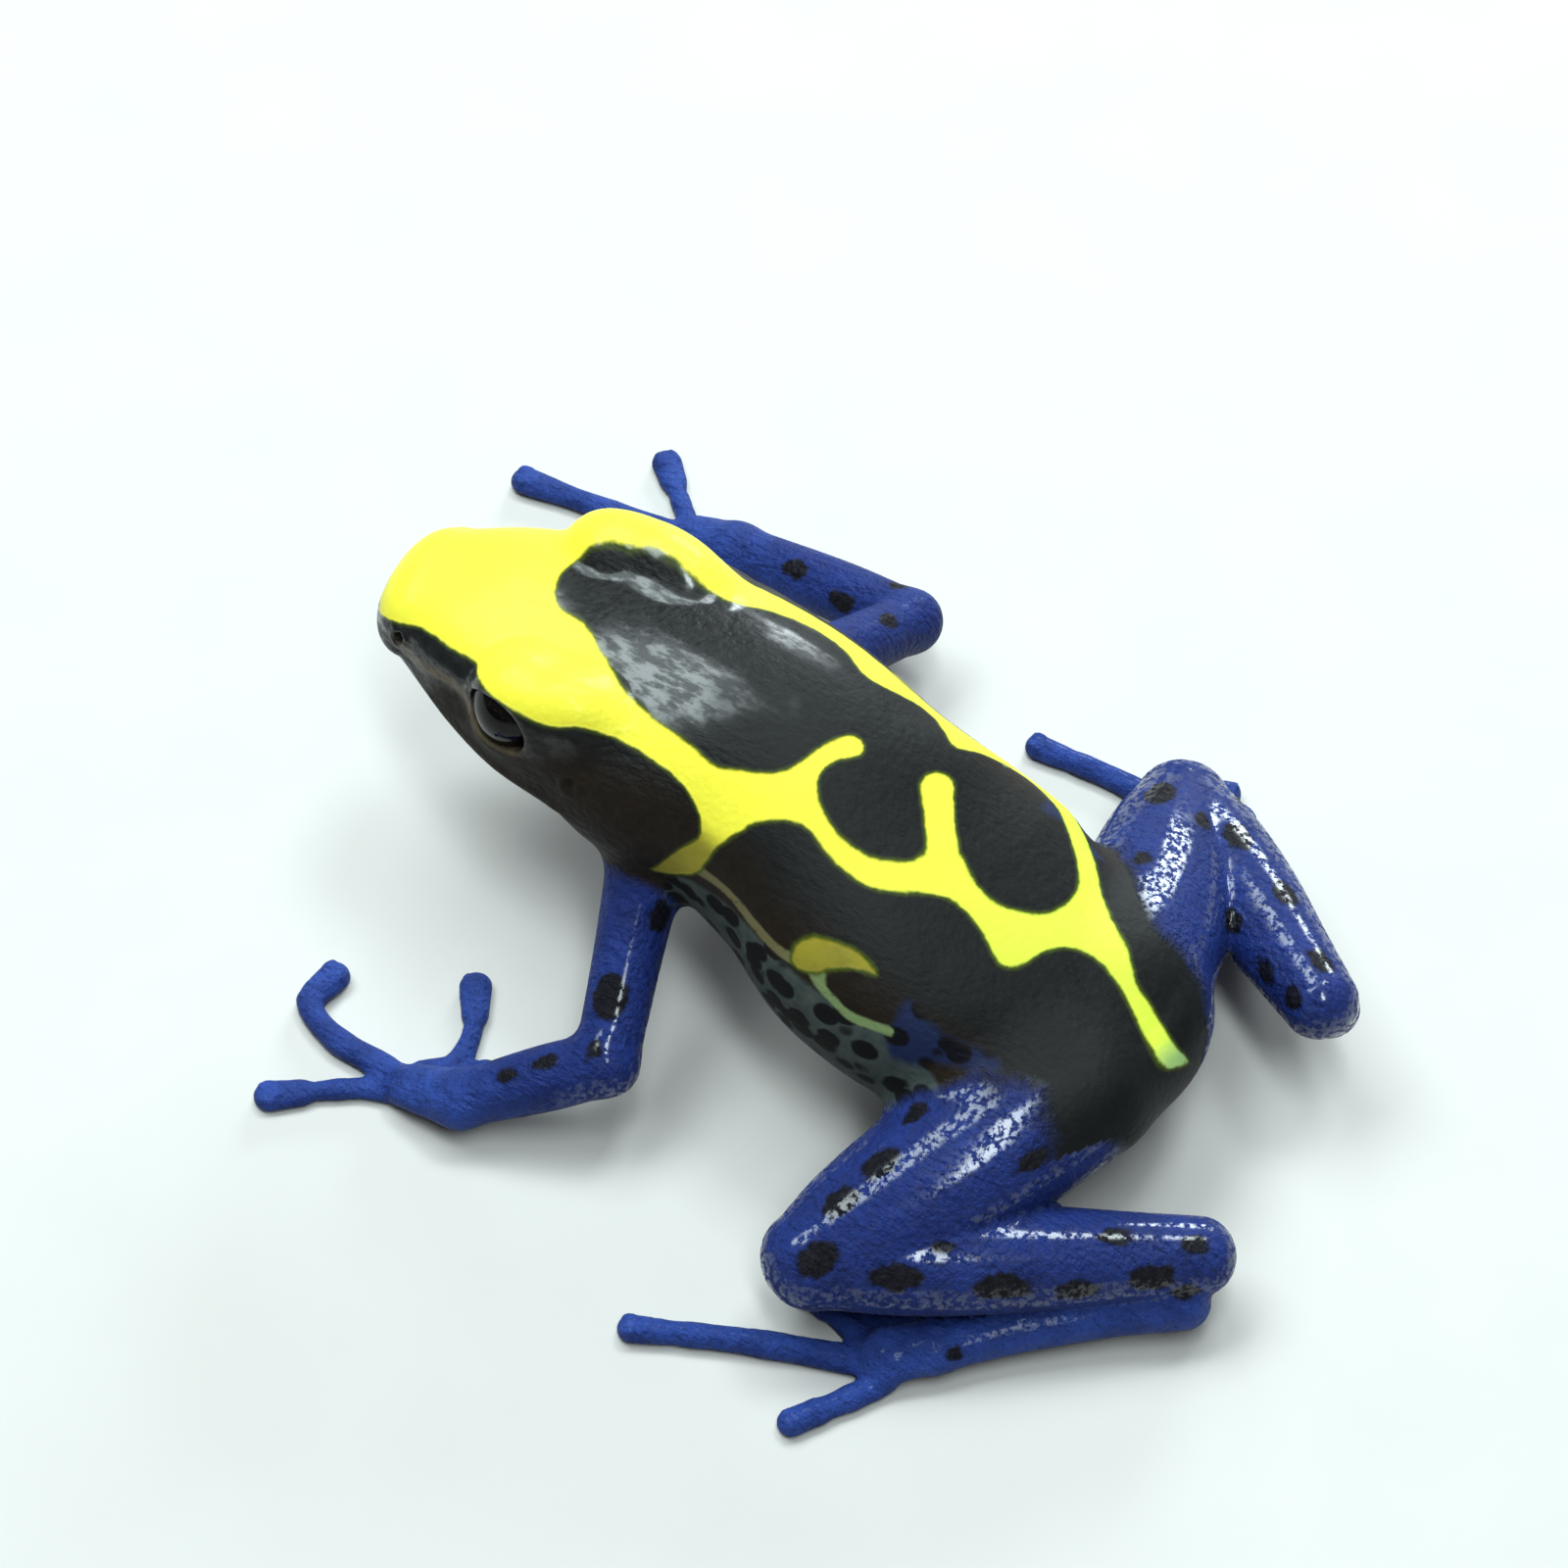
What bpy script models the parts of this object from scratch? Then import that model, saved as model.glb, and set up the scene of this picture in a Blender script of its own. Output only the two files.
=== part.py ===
"""A dyeing poison dart frog at life size, sitting on its hands and feet.

Metres, +Z up. The frog faces -Y, its left side is +X and the floor is z = 0. Shapes are worked out in
millimetres and the finished parts are moved together so that they stand centred over the origin.
"""

import math

import bmesh
import bpy
from mathutils import Matrix, Vector

MM = 0.001

# Driving sizes, in millimetres
BODY_LENGTH = 41.3
SNOUT_Y = -19.0
GAP = 0.3
FLOOR_BITE = 0.12
FAR = 60.0
MERGE = 0.002
SLIVER = 0.05

# Roundness of the loops
TRUNK_SIDES = 32
TRUNK_RINGS = 34
LIMB_SIDES = 14
LIMB_RINGS = 8
LIMB_CAP = 0.9
DIGIT_RINGS = 3
SLOPE_STEP = 0.02
DIGIT_SIDES = 8
CAP_RINGS = 3
DIGIT_CAP_RINGS = 2
BALL_SIDES = 18
BALL_RINGS = 11
PIT_SIDES = 10
PIT_RINGS = 6

# The trunk from snout to vent: share of the body length, sideways shift, height of its widest line,
# half width, reach above that line, reach below it, squareness above, squareness below
TRUNK = (
    (0.045, 1.90, 11.7, 3.4, 2.6, 1.3, 2.6, 2.0),
    (0.12, 1.50, 11.1, 5.15, 3.7, 2.1, 2.5, 1.9),
    (0.20, 1.15, 10.8, 6.5, 4.1, 2.9, 2.3, 1.9),
    (0.28, 0.85, 10.7, 7.1, 4.5, 3.7, 2.2, 1.9),
    (0.36, 0.80, 10.5, 7.4, 4.9, 4.7, 2.1, 2.0),
    (0.45, 0.80, 10.2, 7.0, 5.2, 5.7, 2.1, 2.1),
    (0.55, 1.65, 9.4, 7.0, 5.4, 6.1, 2.1, 2.1),
    (0.65, 2.50, 8.3, 7.9, 5.1, 6.0, 2.1, 2.1),
    (0.74, 2.60, 7.4, 7.9, 4.7, 5.4, 2.1, 2.1),
    (0.82, 2.45, 6.8, 6.5, 4.1, 4.7, 2.1, 2.1),
    (0.89, 2.10, 6.3, 4.9, 3.4, 3.9, 2.1, 2.1),
    (0.95, 2.00, 5.9, 2.8, 2.6, 2.8, 2.1, 2.1),
)
SNOUT_CAP = 2.2
RUMP_CAP = 1.9

# The head: places are shares of the body length, then reach sideways from the middle and height
NECK_SHARE = 0.375
JAW_CORNER_SHARE = 0.305
LIP_UNDER_WIDEST = 0.25
LIP_OVERHANG = 0.15
LIP_STEPS = 10
EYE = (0.206, 4.25, 13.2)
EYE_RADIUS = 2.15
LID = (0.264, 4.4, 13.2)
LID_REACH = (2.15, 3.7, 2.65)
LID_TURN = math.radians(12)
LID_OPENING = (0.195, 6.5, 13.7)
LID_OPENING_REACH = (1.9, 1.75, 1.25)
NOSTRIL = (0.045, 3.15, 12.75)
NOSTRIL_RADIUS = 0.32
EAR = (0.31, 6.1, 12.3)
EAR_RADIUS = 0.95
EAR_GROOVE = 0.2
EAR_SINK = 0.2
EAR_SIDES = 20
EAR_RING_SIDES = 6

# Leg joints
HIPS = {"left": (5.5, 18.5, 6.4), "right": (0.2, 17.8, 6.4)}
KNEES = {"left": (17.9, 12.4, 4.1), "right": (-11.4, 14.3, 3.4)}
HEELS = {"left": (8.5, 26.1, 3.2), "right": (-3.7, 25.1, 6.0)}
ANKLES = {"left": (10.0, 26.2, 1.8), "right": (-4.2, 25.4, 5.0)}
SOLES = {"left": (17.2, 18.2, 1.1), "right": (-11.9, 17.3, 1.1)}
SHOULDERS = {"left": (5.0, -3.6, 8.2), "right": (-3.6, -3.6, 8.2)}
ELBOWS = {"left": (14.3, -0.2, 4.0), "right": (-13.7, -1.5, 3.6)}
WRISTS = {"left": (18.1, -5.4, 1.7), "right": (-14.2, -11.6, 1.8)}
PALMS = {"left": (18.4, -8.0, 1.0), "right": (-14.4, -14.2, 1.0)}

# Girth of each limb: share of its length, half width across, half height
THIGH = ((0.0, 3.4, 3.1), (0.3, 3.6, 3.2), (0.6, 3.4, 2.95), (0.85, 2.85, 2.5), (1.0, 2.2, 2.1))
SHANK = ((0.0, 2.0, 1.95), (0.25, 2.4, 2.3), (0.5, 2.35, 2.25), (0.8, 1.95, 1.9), (1.0, 1.7, 1.65))
TARSUS = ((0.0, 1.35, 1.3), (0.3, 1.05, 1.0), (0.7, 1.0, 0.9), (1.0, 1.2, 0.9))
UPPER_ARM = ((0.0, 1.9, 1.9), (0.5, 1.55, 1.55), (1.0, 1.4, 1.4))
FOREARM = ((0.0, 1.4, 1.4), (0.4, 1.48, 1.45), (1.0, 1.25, 1.1))
HAND = ((0.0, 1.15, 1.0), (0.6, 1.25, 0.85), (1.0, 1.1, 0.7))
FOOT = ((0.0, 1.1, 0.85), (1.0, 1.35, 0.85))
FOOT_REACH = 1.9
FOOT_DROP = 0.15

# Bends of the digits as places on the floor, from the inner digit to the outer one
TOES = {
    "left": (
        ((17.2, 17.1), (15.9, 15.7)),
        ((17.5, 16.7), (16.2, 13.0)),
        ((18.3, 16.3), (17.5, 12.1)),
        ((19.1, 15.8), (20.9, 11.2), (23.0, 6.7)),
        ((19.6, 17.0), (23.1, 14.8)),
    ),
    "right": (
        ((-11.2, 15.9), (-9.8, 15.0)),
        ((-11.5, 15.4), (-10.2, 13.3)),
        ((-12.0, 15.0), (-11.4, 13.2)),
        ((-12.6, 14.8), (-12.9, 10.8), (-12.6, 6.2)),
        ((-13.1, 15.6), (-15.0, 15.0)),
    ),
}
FINGERS = {
    "left": (
        ((17.2, -7.0), (15.9, -5.8)),
        ((17.4, -8.3), (16.1, -7.2), (14.3, -7.5), (12.3, -8.7)),
        ((18.0, -9.8), (17.9, -12.5), (17.0, -14.5), (15.3, -14.4)),
        ((19.4, -10.1), (21.8, -13.2)),
    ),
    "right": (
        ((-13.0, -13.6), (-11.0, -13.0)),
        ((-13.3, -15.2), (-11.3, -18.0)),
        ((-14.1, -16.2), (-13.2, -23.2)),
        ((-15.4, -15.2), (-17.9, -18.0)),
    ),
}
TOE_RADII = (0.43, 0.46, 0.5, 0.56, 0.53)
TOE_DISC = 0.62
FINGER_RADII = (0.42, 0.46, 0.56, 0.45)
FINGER_DISC = 0.75
ROOT_SPREAD = 0.35
ROOT_SWELL = 1.25
TIP_SHARE = 0.9
DISC_REACH = 2.5

# Surface: colour, roughness
YELLOW = ((0.93, 0.80, 0.03), 0.35)
BLACK = ((0.02, 0.02, 0.022), 0.35)
BLUE = ((0.04, 0.065, 0.30), 0.4)
EYE_BLACK = ((0.006, 0.005, 0.005), 0.08)


def clear_scene():
    for obj in list(bpy.data.objects):
        bpy.data.objects.remove(obj)


def between(table, share):
    """A row of the table at this share, on a smooth curve through its rows."""
    rows = [table[0], *table, table[-1]]
    i = 1
    while i < len(rows) - 3 and share > rows[i + 1][0]:
        i += 1
    before, low, high, after = rows[i - 1 : i + 3]
    span = high[0] - low[0]
    t = min(1.0, max(0.0, (share - low[0]) / span))
    row = []
    for k in range(1, len(low)):
        slope_low = (high[k] - before[k]) / max(high[0] - before[0], span) * span
        slope_high = (after[k] - low[k]) / max(after[0] - low[0], span) * span
        row.append(
            (2 * t**3 - 3 * t**2 + 1) * low[k]
            + (t**3 - 2 * t**2 + t) * slope_low
            + (3 * t**2 - 2 * t**3) * high[k]
            + (t**3 - t**2) * slope_high
        )
    return row


def bent(value, squareness):
    return math.copysign(abs(value) ** (2.0 / squareness), value)


class Section:
    """One loop of a body: its middle, its sideways and upward directions and how far it reaches."""

    def __init__(self, centre, across, over, width, top, bottom, square_top=2.0, square_bottom=2.0):
        self.centre, self.across, self.over = Vector(centre), Vector(across), Vector(over)
        self.width, self.top, self.bottom = width, top, bottom
        self.square_top, self.square_bottom = square_top, square_bottom

    def forward(self):
        return self.across.cross(self.over)

    def loop(self, sides):
        points = []
        for k in range(sides):
            turn = 2 * math.pi * k / sides
            upper = k * 2 < sides
            squareness = self.square_top if upper else self.square_bottom
            reach = self.top if upper else self.bottom
            points.append(
                self.centre
                + self.across * self.width * bent(math.cos(turn), squareness)
                + self.over * reach * bent(math.sin(turn), squareness)
            )
        return points

    def rounded(self, offset, scale):
        """The same section moved along the body and made smaller, for a rounded end."""
        return Section(
            self.centre + self.forward() * offset,
            self.across,
            self.over,
            self.width * scale,
            self.top * scale,
            self.bottom * scale,
            self.square_top,
            self.square_bottom,
        )


def add(name, bm):
    bmesh.ops.recalc_face_normals(bm, faces=bm.faces)
    mesh = bpy.data.meshes.new(name)
    bm.to_mesh(mesh)
    bm.free()
    obj = bpy.data.objects.new(name, mesh)
    bpy.context.scene.collection.objects.link(obj)
    return obj


def loft(name, sections, sides, front, back, cap_rings=CAP_RINGS):
    """A closed body through the sections, with rounded ends that reach this far past them."""
    rings = list(sections)
    for k in range(1, cap_rings + 1):
        turn = math.pi / 2 * k / (cap_rings + 1)
        rings.insert(0, sections[0].rounded(front * math.sin(turn), math.cos(turn)))
        rings.append(sections[-1].rounded(-back * math.sin(turn), math.cos(turn)))
    tips = (
        sections[0].centre + sections[0].forward() * front,
        sections[-1].centre - sections[-1].forward() * back,
    )
    bm = bmesh.new()
    loops = [[bm.verts.new(p) for p in ring.loop(sides)] for ring in rings]
    for first, second in zip(loops, loops[1:]):
        for k in range(sides):
            n = (k + 1) % sides
            bm.faces.new((first[k], first[n], second[n], second[k]))
    for end, tip in ((loops[0], tips[0]), (loops[-1], tips[1])):
        pole = bm.verts.new(tip)
        for k in range(sides):
            bm.faces.new((end[k], pole, end[(k + 1) % sides]))
    return add(name, bm)


def trunk_section(share, grow=0.0):
    """The trunk's section at this share of the body length, square to its middle line seen from above."""
    side, height, width, top, bottom, square_top, square_bottom = between(TRUNK, share)
    low = max(TRUNK[0][0], share - SLOPE_STEP)
    high = min(TRUNK[-1][0], share + SLOPE_STEP)
    lean = between(TRUNK, low)[0] - between(TRUNK, high)[0]
    across = Vector(((high - low) * BODY_LENGTH, lean, 0.0)).normalized()
    centre = (side, SNOUT_Y + share * BODY_LENGTH, height)
    reach = width + grow, top + grow, bottom + grow
    return Section(centre, across, (0, 0, 1), *reach, square_top, square_bottom)


def trunk(name, grow=0.0):
    first, last = TRUNK[0][0], TRUNK[-1][0]
    shares = [first + (last - first) * k / (TRUNK_RINGS - 1) for k in range(TRUNK_RINGS)]
    sections = [trunk_section(share, grow) for share in shares]
    return loft(name, sections, TRUNK_SIDES, SNOUT_CAP + grow, RUMP_CAP + grow)


def limb(name, start, end, girth, grow=0.0):
    """A tapered limb between two joints, with rounded ends."""
    start, end = Vector(start), Vector(end)
    forward = (start - end).normalized()
    across = Vector((0, 0, 1)).cross(forward).normalized()
    over = forward.cross(across)
    sections = []
    for k in range(LIMB_RINGS):
        share = k / (LIMB_RINGS - 1)
        width, height = between(girth, share)
        reach = width + grow, height + grow, height + grow
        sections.append(Section(start.lerp(end, share), across, over, *reach))
    caps = (sections[k].width * LIMB_CAP for k in (0, -1))
    return loft(name, sections, LIMB_SIDES, *caps)


def digit(name, palm, path, radius, disc):
    """A finger or toe that lies on the floor from the palm along its bends, with a disc under its tip."""
    root = Vector(palm[:2]).lerp(Vector(path[0]), ROOT_SPREAD)
    points = [Vector((x, y, radius - FLOOR_BITE)) for x, y in (root, *path)]
    lengths = [0.0]
    for a, b in zip(points, points[1:]):
        lengths.append(lengths[-1] + (b - a).length)
    total = lengths[-1]
    table = [(length / total, *point) for length, point in zip(lengths, points)]
    count = DIGIT_RINGS * (len(path) + 1)
    sections = []
    for k in range(count + 1):
        share = k / count
        ahead = Vector(between(table, max(0.0, share - SLOPE_STEP)))
        behind = Vector(between(table, min(1.0, share + SLOPE_STEP)))
        across = Vector((0, 0, 1)).cross(ahead - behind).normalized()
        left = (1.0 - share) * total
        swell = math.sqrt(max(0.0, 1.0 - left / (DISC_REACH * disc)))
        width = radius * (ROOT_SWELL - (ROOT_SWELL - TIP_SHARE) * share)
        width += (disc - TIP_SHARE * radius) * swell
        sections.append(Section(between(table, share), across, (0, 0, 1), width, radius, radius))
    return loft(name, sections, DIGIT_SIDES, radius, disc, DIGIT_CAP_RINGS)


def ball(name, centre, reach, across=Vector((1, 0, 0)), sides=BALL_SIDES, rings=BALL_RINGS):
    """A ball or egg with its first reach along this sideways direction and its third straight up."""
    over = Vector((0, 0, 1))
    turned = Matrix((across, over.cross(across), over)).transposed().to_4x4()
    place = Matrix.Translation(Vector(centre)) @ turned @ Matrix.Diagonal((*reach, 1.0))
    bm = bmesh.new()
    bmesh.ops.create_uvsphere(bm, u_segments=sides, v_segments=rings, radius=1.0, matrix=place)
    return add(name, bm)


def prism(name, outline, origin, across, half_width):
    """A block with this outline of places along the body and heights, as wide as twice the half width."""
    back = Vector((0, 0, 1)).cross(across)
    bm = bmesh.new()
    walls = []
    for sign in (-1, 1):
        wall = [origin + across * half_width * sign + back * y + Vector((0, 0, z)) for y, z in outline]
        walls.append([bm.verts.new(point) for point in wall])
    for k in range(len(outline)):
        n = (k + 1) % len(outline)
        bm.faces.new((walls[0][k], walls[0][n], walls[1][n], walls[1][k]))
    bm.faces.new(walls[0])
    bm.faces.new(walls[1])
    return add(name, bm)


def largest_shell(bm):
    """Leaves only the largest closed surface."""
    shells = []
    left = set(bm.faces)
    while left:
        found = [left.pop()]
        for face in found:
            for edge in face.edges:
                for other in edge.link_faces:
                    if other in left:
                        left.remove(other)
                        found.append(other)
        shells.append(found)
    shells.sort(key=lambda shell: sum(face.calc_area() for face in shell))
    small = [face for shell in shells[:-1] for face in shell]
    bmesh.ops.delete(bm, geom=small, context="FACES")


def tidied(mesh):
    """Merges crumbs where that leaves the mesh closed, keeps one body that faces out and gives its volume."""
    volume = 0.0
    for reach in (MERGE, MERGE / 10, 0.0):
        bm = bmesh.new()
        bm.from_mesh(mesh)
        if reach:
            bmesh.ops.remove_doubles(bm, verts=bm.verts, dist=reach)
            bmesh.ops.dissolve_degenerate(bm, edges=bm.edges, dist=reach)
        bmesh.ops.triangulate(bm, faces=bm.faces)
        largest_shell(bm)
        bmesh.ops.recalc_face_normals(bm, faces=bm.faces)
        closed = all(edge.is_manifold for edge in bm.edges)
        if closed:
            volume = bm.calc_volume()
            bm.to_mesh(mesh)
        bm.free()
        if closed:
            break
    return volume


def boolean(target, tool, operation):
    """Applies this Boolean and removes the tool."""
    before, other = tidied(target.data), tidied(tool.data)
    least = {"UNION": max(before, other), "DIFFERENCE": before - other, "INTERSECT": SLIVER}
    most = {"UNION": before + other, "DIFFERENCE": before, "INTERSECT": before}
    change = target.modifiers.new(operation, "BOOLEAN")
    change.operation = operation
    change.object = tool
    for solver in ("EXACT", "MANIFOLD"):
        change.solver = solver
        graph = bpy.context.evaluated_depsgraph_get()
        mesh = bpy.data.meshes.new_from_object(target.evaluated_get(graph))
        if max(SLIVER, least[operation] - SLIVER) <= tidied(mesh) <= most[operation] + SLIVER:
            break
    target.modifiers.clear()
    target.data = mesh
    bpy.data.objects.remove(tool)


def above_floor(obj):
    """Cuts off what lies under the floor, so that the part rests on flats."""
    floor = [(-FAR, -FAR), (FAR, -FAR), (FAR, 0.0), (-FAR, 0.0)]
    boolean(obj, prism("floor_cut", floor, Vector(), Vector((1, 0, 0)), FAR), "DIFFERENCE")


def head_place(place, sign):
    """A point of the head from a share of the body length, a reach sideways and a height."""
    share, reach, height = place
    section = trunk_section(share)
    across = trunk_section(EYE[0]).across
    point = section.centre + across * reach * sign
    return Vector((point.x, point.y, height))


def behind_neck(name, shift):
    section = trunk_section(NECK_SHARE)
    outline = [(shift, -FAR), (FAR, -FAR), (FAR, FAR), (shift, FAR)]
    return prism(name, outline, Vector((section.centre.x, section.centre.y, 0)), section.across, FAR)


def under_lip(name, lift, shift):
    """The block below the line of the mouth and ahead of the jaw corner."""
    across = trunk_section(EYE[0]).across
    corner = trunk_section(JAW_CORNER_SHARE)
    origin = Vector((corner.centre.x, corner.centre.y, 0))
    first = TRUNK[0][0]
    snout_height = between(TRUNK, first)[1] - LIP_UNDER_WIDEST + lift
    outline = [(shift, -FAR), (-FAR, -FAR), (-FAR, snout_height)]
    for k in range(LIP_STEPS + 1):
        share = first + (JAW_CORNER_SHARE - first) * k / LIP_STEPS
        y = (share - JAW_CORNER_SHARE) * BODY_LENGTH
        height = between(TRUNK, share)[1] - LIP_UNDER_WIDEST + lift
        outline.append((y if k < LIP_STEPS else shift, height))
    return prism(name, outline, origin, across, FAR)


def head():
    across = trunk_section(EYE[0]).across
    skull = trunk("head")
    for sign in (1, -1):
        turned = Matrix.Rotation(-LID_TURN * sign, 3, "Z") @ across
        boolean(skull, ball("lid", head_place(LID, sign), LID_REACH, turned), "UNION")
    boolean(skull, behind_neck("neck_cut", -GAP / 2), "DIFFERENCE")
    boolean(skull, under_lip("mouth_cut", GAP, GAP), "DIFFERENCE")
    for sign, side in ((1, "left"), (-1, "right")):
        eye = head_place(EYE, sign)
        ball(f"eye_{side}", eye, (EYE_RADIUS,) * 3, across)
        boolean(skull, ball("socket", eye, (EYE_RADIUS + GAP,) * 3, across), "DIFFERENCE")
        opening = ball("opening", head_place(LID_OPENING, sign), LID_OPENING_REACH, across)
        boolean(skull, opening, "DIFFERENCE")
        place = head_place(NOSTRIL, sign)
        nostril = ball("nostril", place, (NOSTRIL_RADIUS,) * 3, across, PIT_SIDES, PIT_RINGS)
        boolean(skull, nostril, "DIFFERENCE")
        boolean(skull, ear_groove(sign), "DIFFERENCE")
    jaw = trunk("jaw", -LIP_OVERHANG)
    keep = under_lip("mouth_part", 0.0, 0.0)
    boolean(jaw, keep, "INTERSECT")


def ear_groove(sign):
    """A ring laid on the side of the head, for the edge of the ear drum."""
    middle = head_place(EAR, sign)
    section = trunk_section(EAR[0])
    outward = (middle - section.centre - Vector((0, 0, EAR_SINK))).normalized()
    across = outward.cross(Vector((0, 0, 1))).normalized()
    over = across.cross(outward)
    bm = bmesh.new()
    loops = []
    for k in range(EAR_SIDES):
        turn = 2 * math.pi * k / EAR_SIDES
        spoke = across * math.cos(turn) + over * math.sin(turn)
        loop = []
        for m in range(EAR_RING_SIDES):
            tilt = 2 * math.pi * m / EAR_RING_SIDES
            reach = EAR_RADIUS + EAR_GROOVE * math.cos(tilt)
            lift = EAR_GROOVE * math.sin(tilt)
            loop.append(bm.verts.new(middle + spoke * reach + outward * lift))
        loops.append(loop)
    for k in range(EAR_SIDES):
        for m in range(EAR_RING_SIDES):
            a, b = loops[k], loops[(k + 1) % EAR_SIDES]
            n = (m + 1) % EAR_RING_SIDES
            bm.faces.new((a[m], b[m], b[n], a[n]))
    return add("ear_groove", bm)


def torso():
    chest = trunk("torso")
    boolean(chest, behind_neck("neck_keep", GAP / 2), "INTERSECT")


def leg(side):
    thigh = limb(f"thigh_{side}", HIPS[side], KNEES[side], THIGH)
    boolean(thigh, trunk("trunk_cut", GAP), "DIFFERENCE")
    shank = limb(f"shank_{side}", KNEES[side], HEELS[side], SHANK)
    boolean(shank, limb("thigh_cut", HIPS[side], KNEES[side], THIGH, GAP), "DIFFERENCE")
    tarsus = limb(f"tarsus_{side}", ANKLES[side], SOLES[side], TARSUS)
    boolean(tarsus, limb("shank_cut", KNEES[side], HEELS[side], SHANK, GAP), "DIFFERENCE")
    above_floor(tarsus)
    sole = Vector(SOLES[side])
    ball_of_foot = sole + (sole - Vector(ANKLES[side])).normalized() * FOOT_REACH
    ball_of_foot.z = SOLES[side][2] - FOOT_DROP
    foot = limb(f"foot_{side}", sole, ball_of_foot, FOOT)
    for radius, path in zip(TOE_RADII, TOES[side]):
        boolean(foot, digit("toe", ball_of_foot, path, radius, TOE_DISC), "UNION")
    boolean(foot, limb("tarsus_cut", ANKLES[side], SOLES[side], TARSUS, GAP), "DIFFERENCE")
    boolean(foot, limb("shank_cut", KNEES[side], HEELS[side], SHANK, GAP), "DIFFERENCE")
    boolean(foot, limb("thigh_cut", HIPS[side], KNEES[side], THIGH, GAP), "DIFFERENCE")
    above_floor(foot)


def arm(side):
    upper = limb(f"upper_arm_{side}", SHOULDERS[side], ELBOWS[side], UPPER_ARM)
    boolean(upper, trunk("trunk_cut", GAP), "DIFFERENCE")
    fore = limb(f"forearm_{side}", ELBOWS[side], WRISTS[side], FOREARM)
    boolean(fore, limb("upper_cut", SHOULDERS[side], ELBOWS[side], UPPER_ARM, GAP), "DIFFERENCE")
    above_floor(fore)
    hand = limb(f"hand_{side}", WRISTS[side], PALMS[side], HAND)
    for radius, path in zip(FINGER_RADII, FINGERS[side]):
        boolean(hand, digit("finger", PALMS[side], path, radius, FINGER_DISC), "UNION")
    boolean(hand, limb("forearm_cut", ELBOWS[side], WRISTS[side], FOREARM, GAP), "DIFFERENCE")
    above_floor(hand)


def paint(obj, surface):
    colour, roughness = surface
    material = bpy.data.materials.new(obj.name)
    material.use_nodes = True
    shader = material.node_tree.nodes["Principled BSDF"]
    shader.inputs["Base Color"].default_value = (*colour, 1.0)
    shader.inputs["Roughness"].default_value = roughness
    shader.inputs["Metallic"].default_value = 0.0
    obj.data.materials.clear()
    obj.data.materials.append(material)


def surface_of(name):
    if name.startswith("eye"):
        return EYE_BLACK
    if name == "head":
        return YELLOW
    return BLACK if name in ("torso", "jaw") else BLUE


def centre_over_origin(parts):
    """Moves all parts together so that the whole stands centred over the origin, and sets them in metres."""
    points = [vertex.co for part in parts for vertex in part.data.vertices]
    middle_x = (min(p.x for p in points) + max(p.x for p in points)) / 2
    middle_y = (min(p.y for p in points) + max(p.y for p in points)) / 2
    for part in parts:
        part.data.transform(Matrix.Scale(MM, 4) @ Matrix.Translation((-middle_x, -middle_y, 0)))


def main():
    clear_scene()
    head()
    torso()
    for side in ("left", "right"):
        leg(side)
        arm(side)
    parts = [obj for obj in bpy.context.scene.objects if obj.type == "MESH"]
    for part in parts:
        paint(part, surface_of(part.name))
    centre_over_origin(parts)


main()
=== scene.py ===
import itertools
import math
from types import SimpleNamespace

import bmesh
import bpy
import numpy as np
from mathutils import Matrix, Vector


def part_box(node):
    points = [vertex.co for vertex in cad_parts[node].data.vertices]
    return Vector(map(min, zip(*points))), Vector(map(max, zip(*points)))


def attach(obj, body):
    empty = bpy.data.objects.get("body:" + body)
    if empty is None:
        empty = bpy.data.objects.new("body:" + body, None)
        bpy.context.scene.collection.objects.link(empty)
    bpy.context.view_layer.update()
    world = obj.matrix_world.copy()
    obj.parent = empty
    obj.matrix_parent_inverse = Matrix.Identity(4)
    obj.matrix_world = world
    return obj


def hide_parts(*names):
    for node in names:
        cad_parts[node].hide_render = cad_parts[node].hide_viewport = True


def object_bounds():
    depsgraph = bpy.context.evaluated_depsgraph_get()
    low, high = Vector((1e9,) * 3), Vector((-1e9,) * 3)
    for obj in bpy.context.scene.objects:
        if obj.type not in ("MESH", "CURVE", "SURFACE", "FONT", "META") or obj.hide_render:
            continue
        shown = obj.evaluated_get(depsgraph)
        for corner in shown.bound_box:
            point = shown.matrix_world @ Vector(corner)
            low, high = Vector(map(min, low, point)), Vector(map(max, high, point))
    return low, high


# A dyeing poison dart frog at life size: one skin over the solids, two eyes, the floor, the light
# and the camera. Shapes are worked out in millimetres, in the frame of the solids' own sizes, and
# moved onto the solids at the end. The frog faces -Y, its left side is +X and the floor is z = 0.

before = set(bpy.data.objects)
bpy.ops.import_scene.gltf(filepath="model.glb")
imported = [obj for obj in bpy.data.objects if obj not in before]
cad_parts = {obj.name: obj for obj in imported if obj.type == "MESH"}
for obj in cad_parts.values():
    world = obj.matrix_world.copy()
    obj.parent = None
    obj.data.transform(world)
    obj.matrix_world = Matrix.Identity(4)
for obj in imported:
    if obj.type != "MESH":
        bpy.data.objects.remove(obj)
solid_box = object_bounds()

MM = 0.001
UP = np.array((0.0, 0.0, 1.0))

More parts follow.
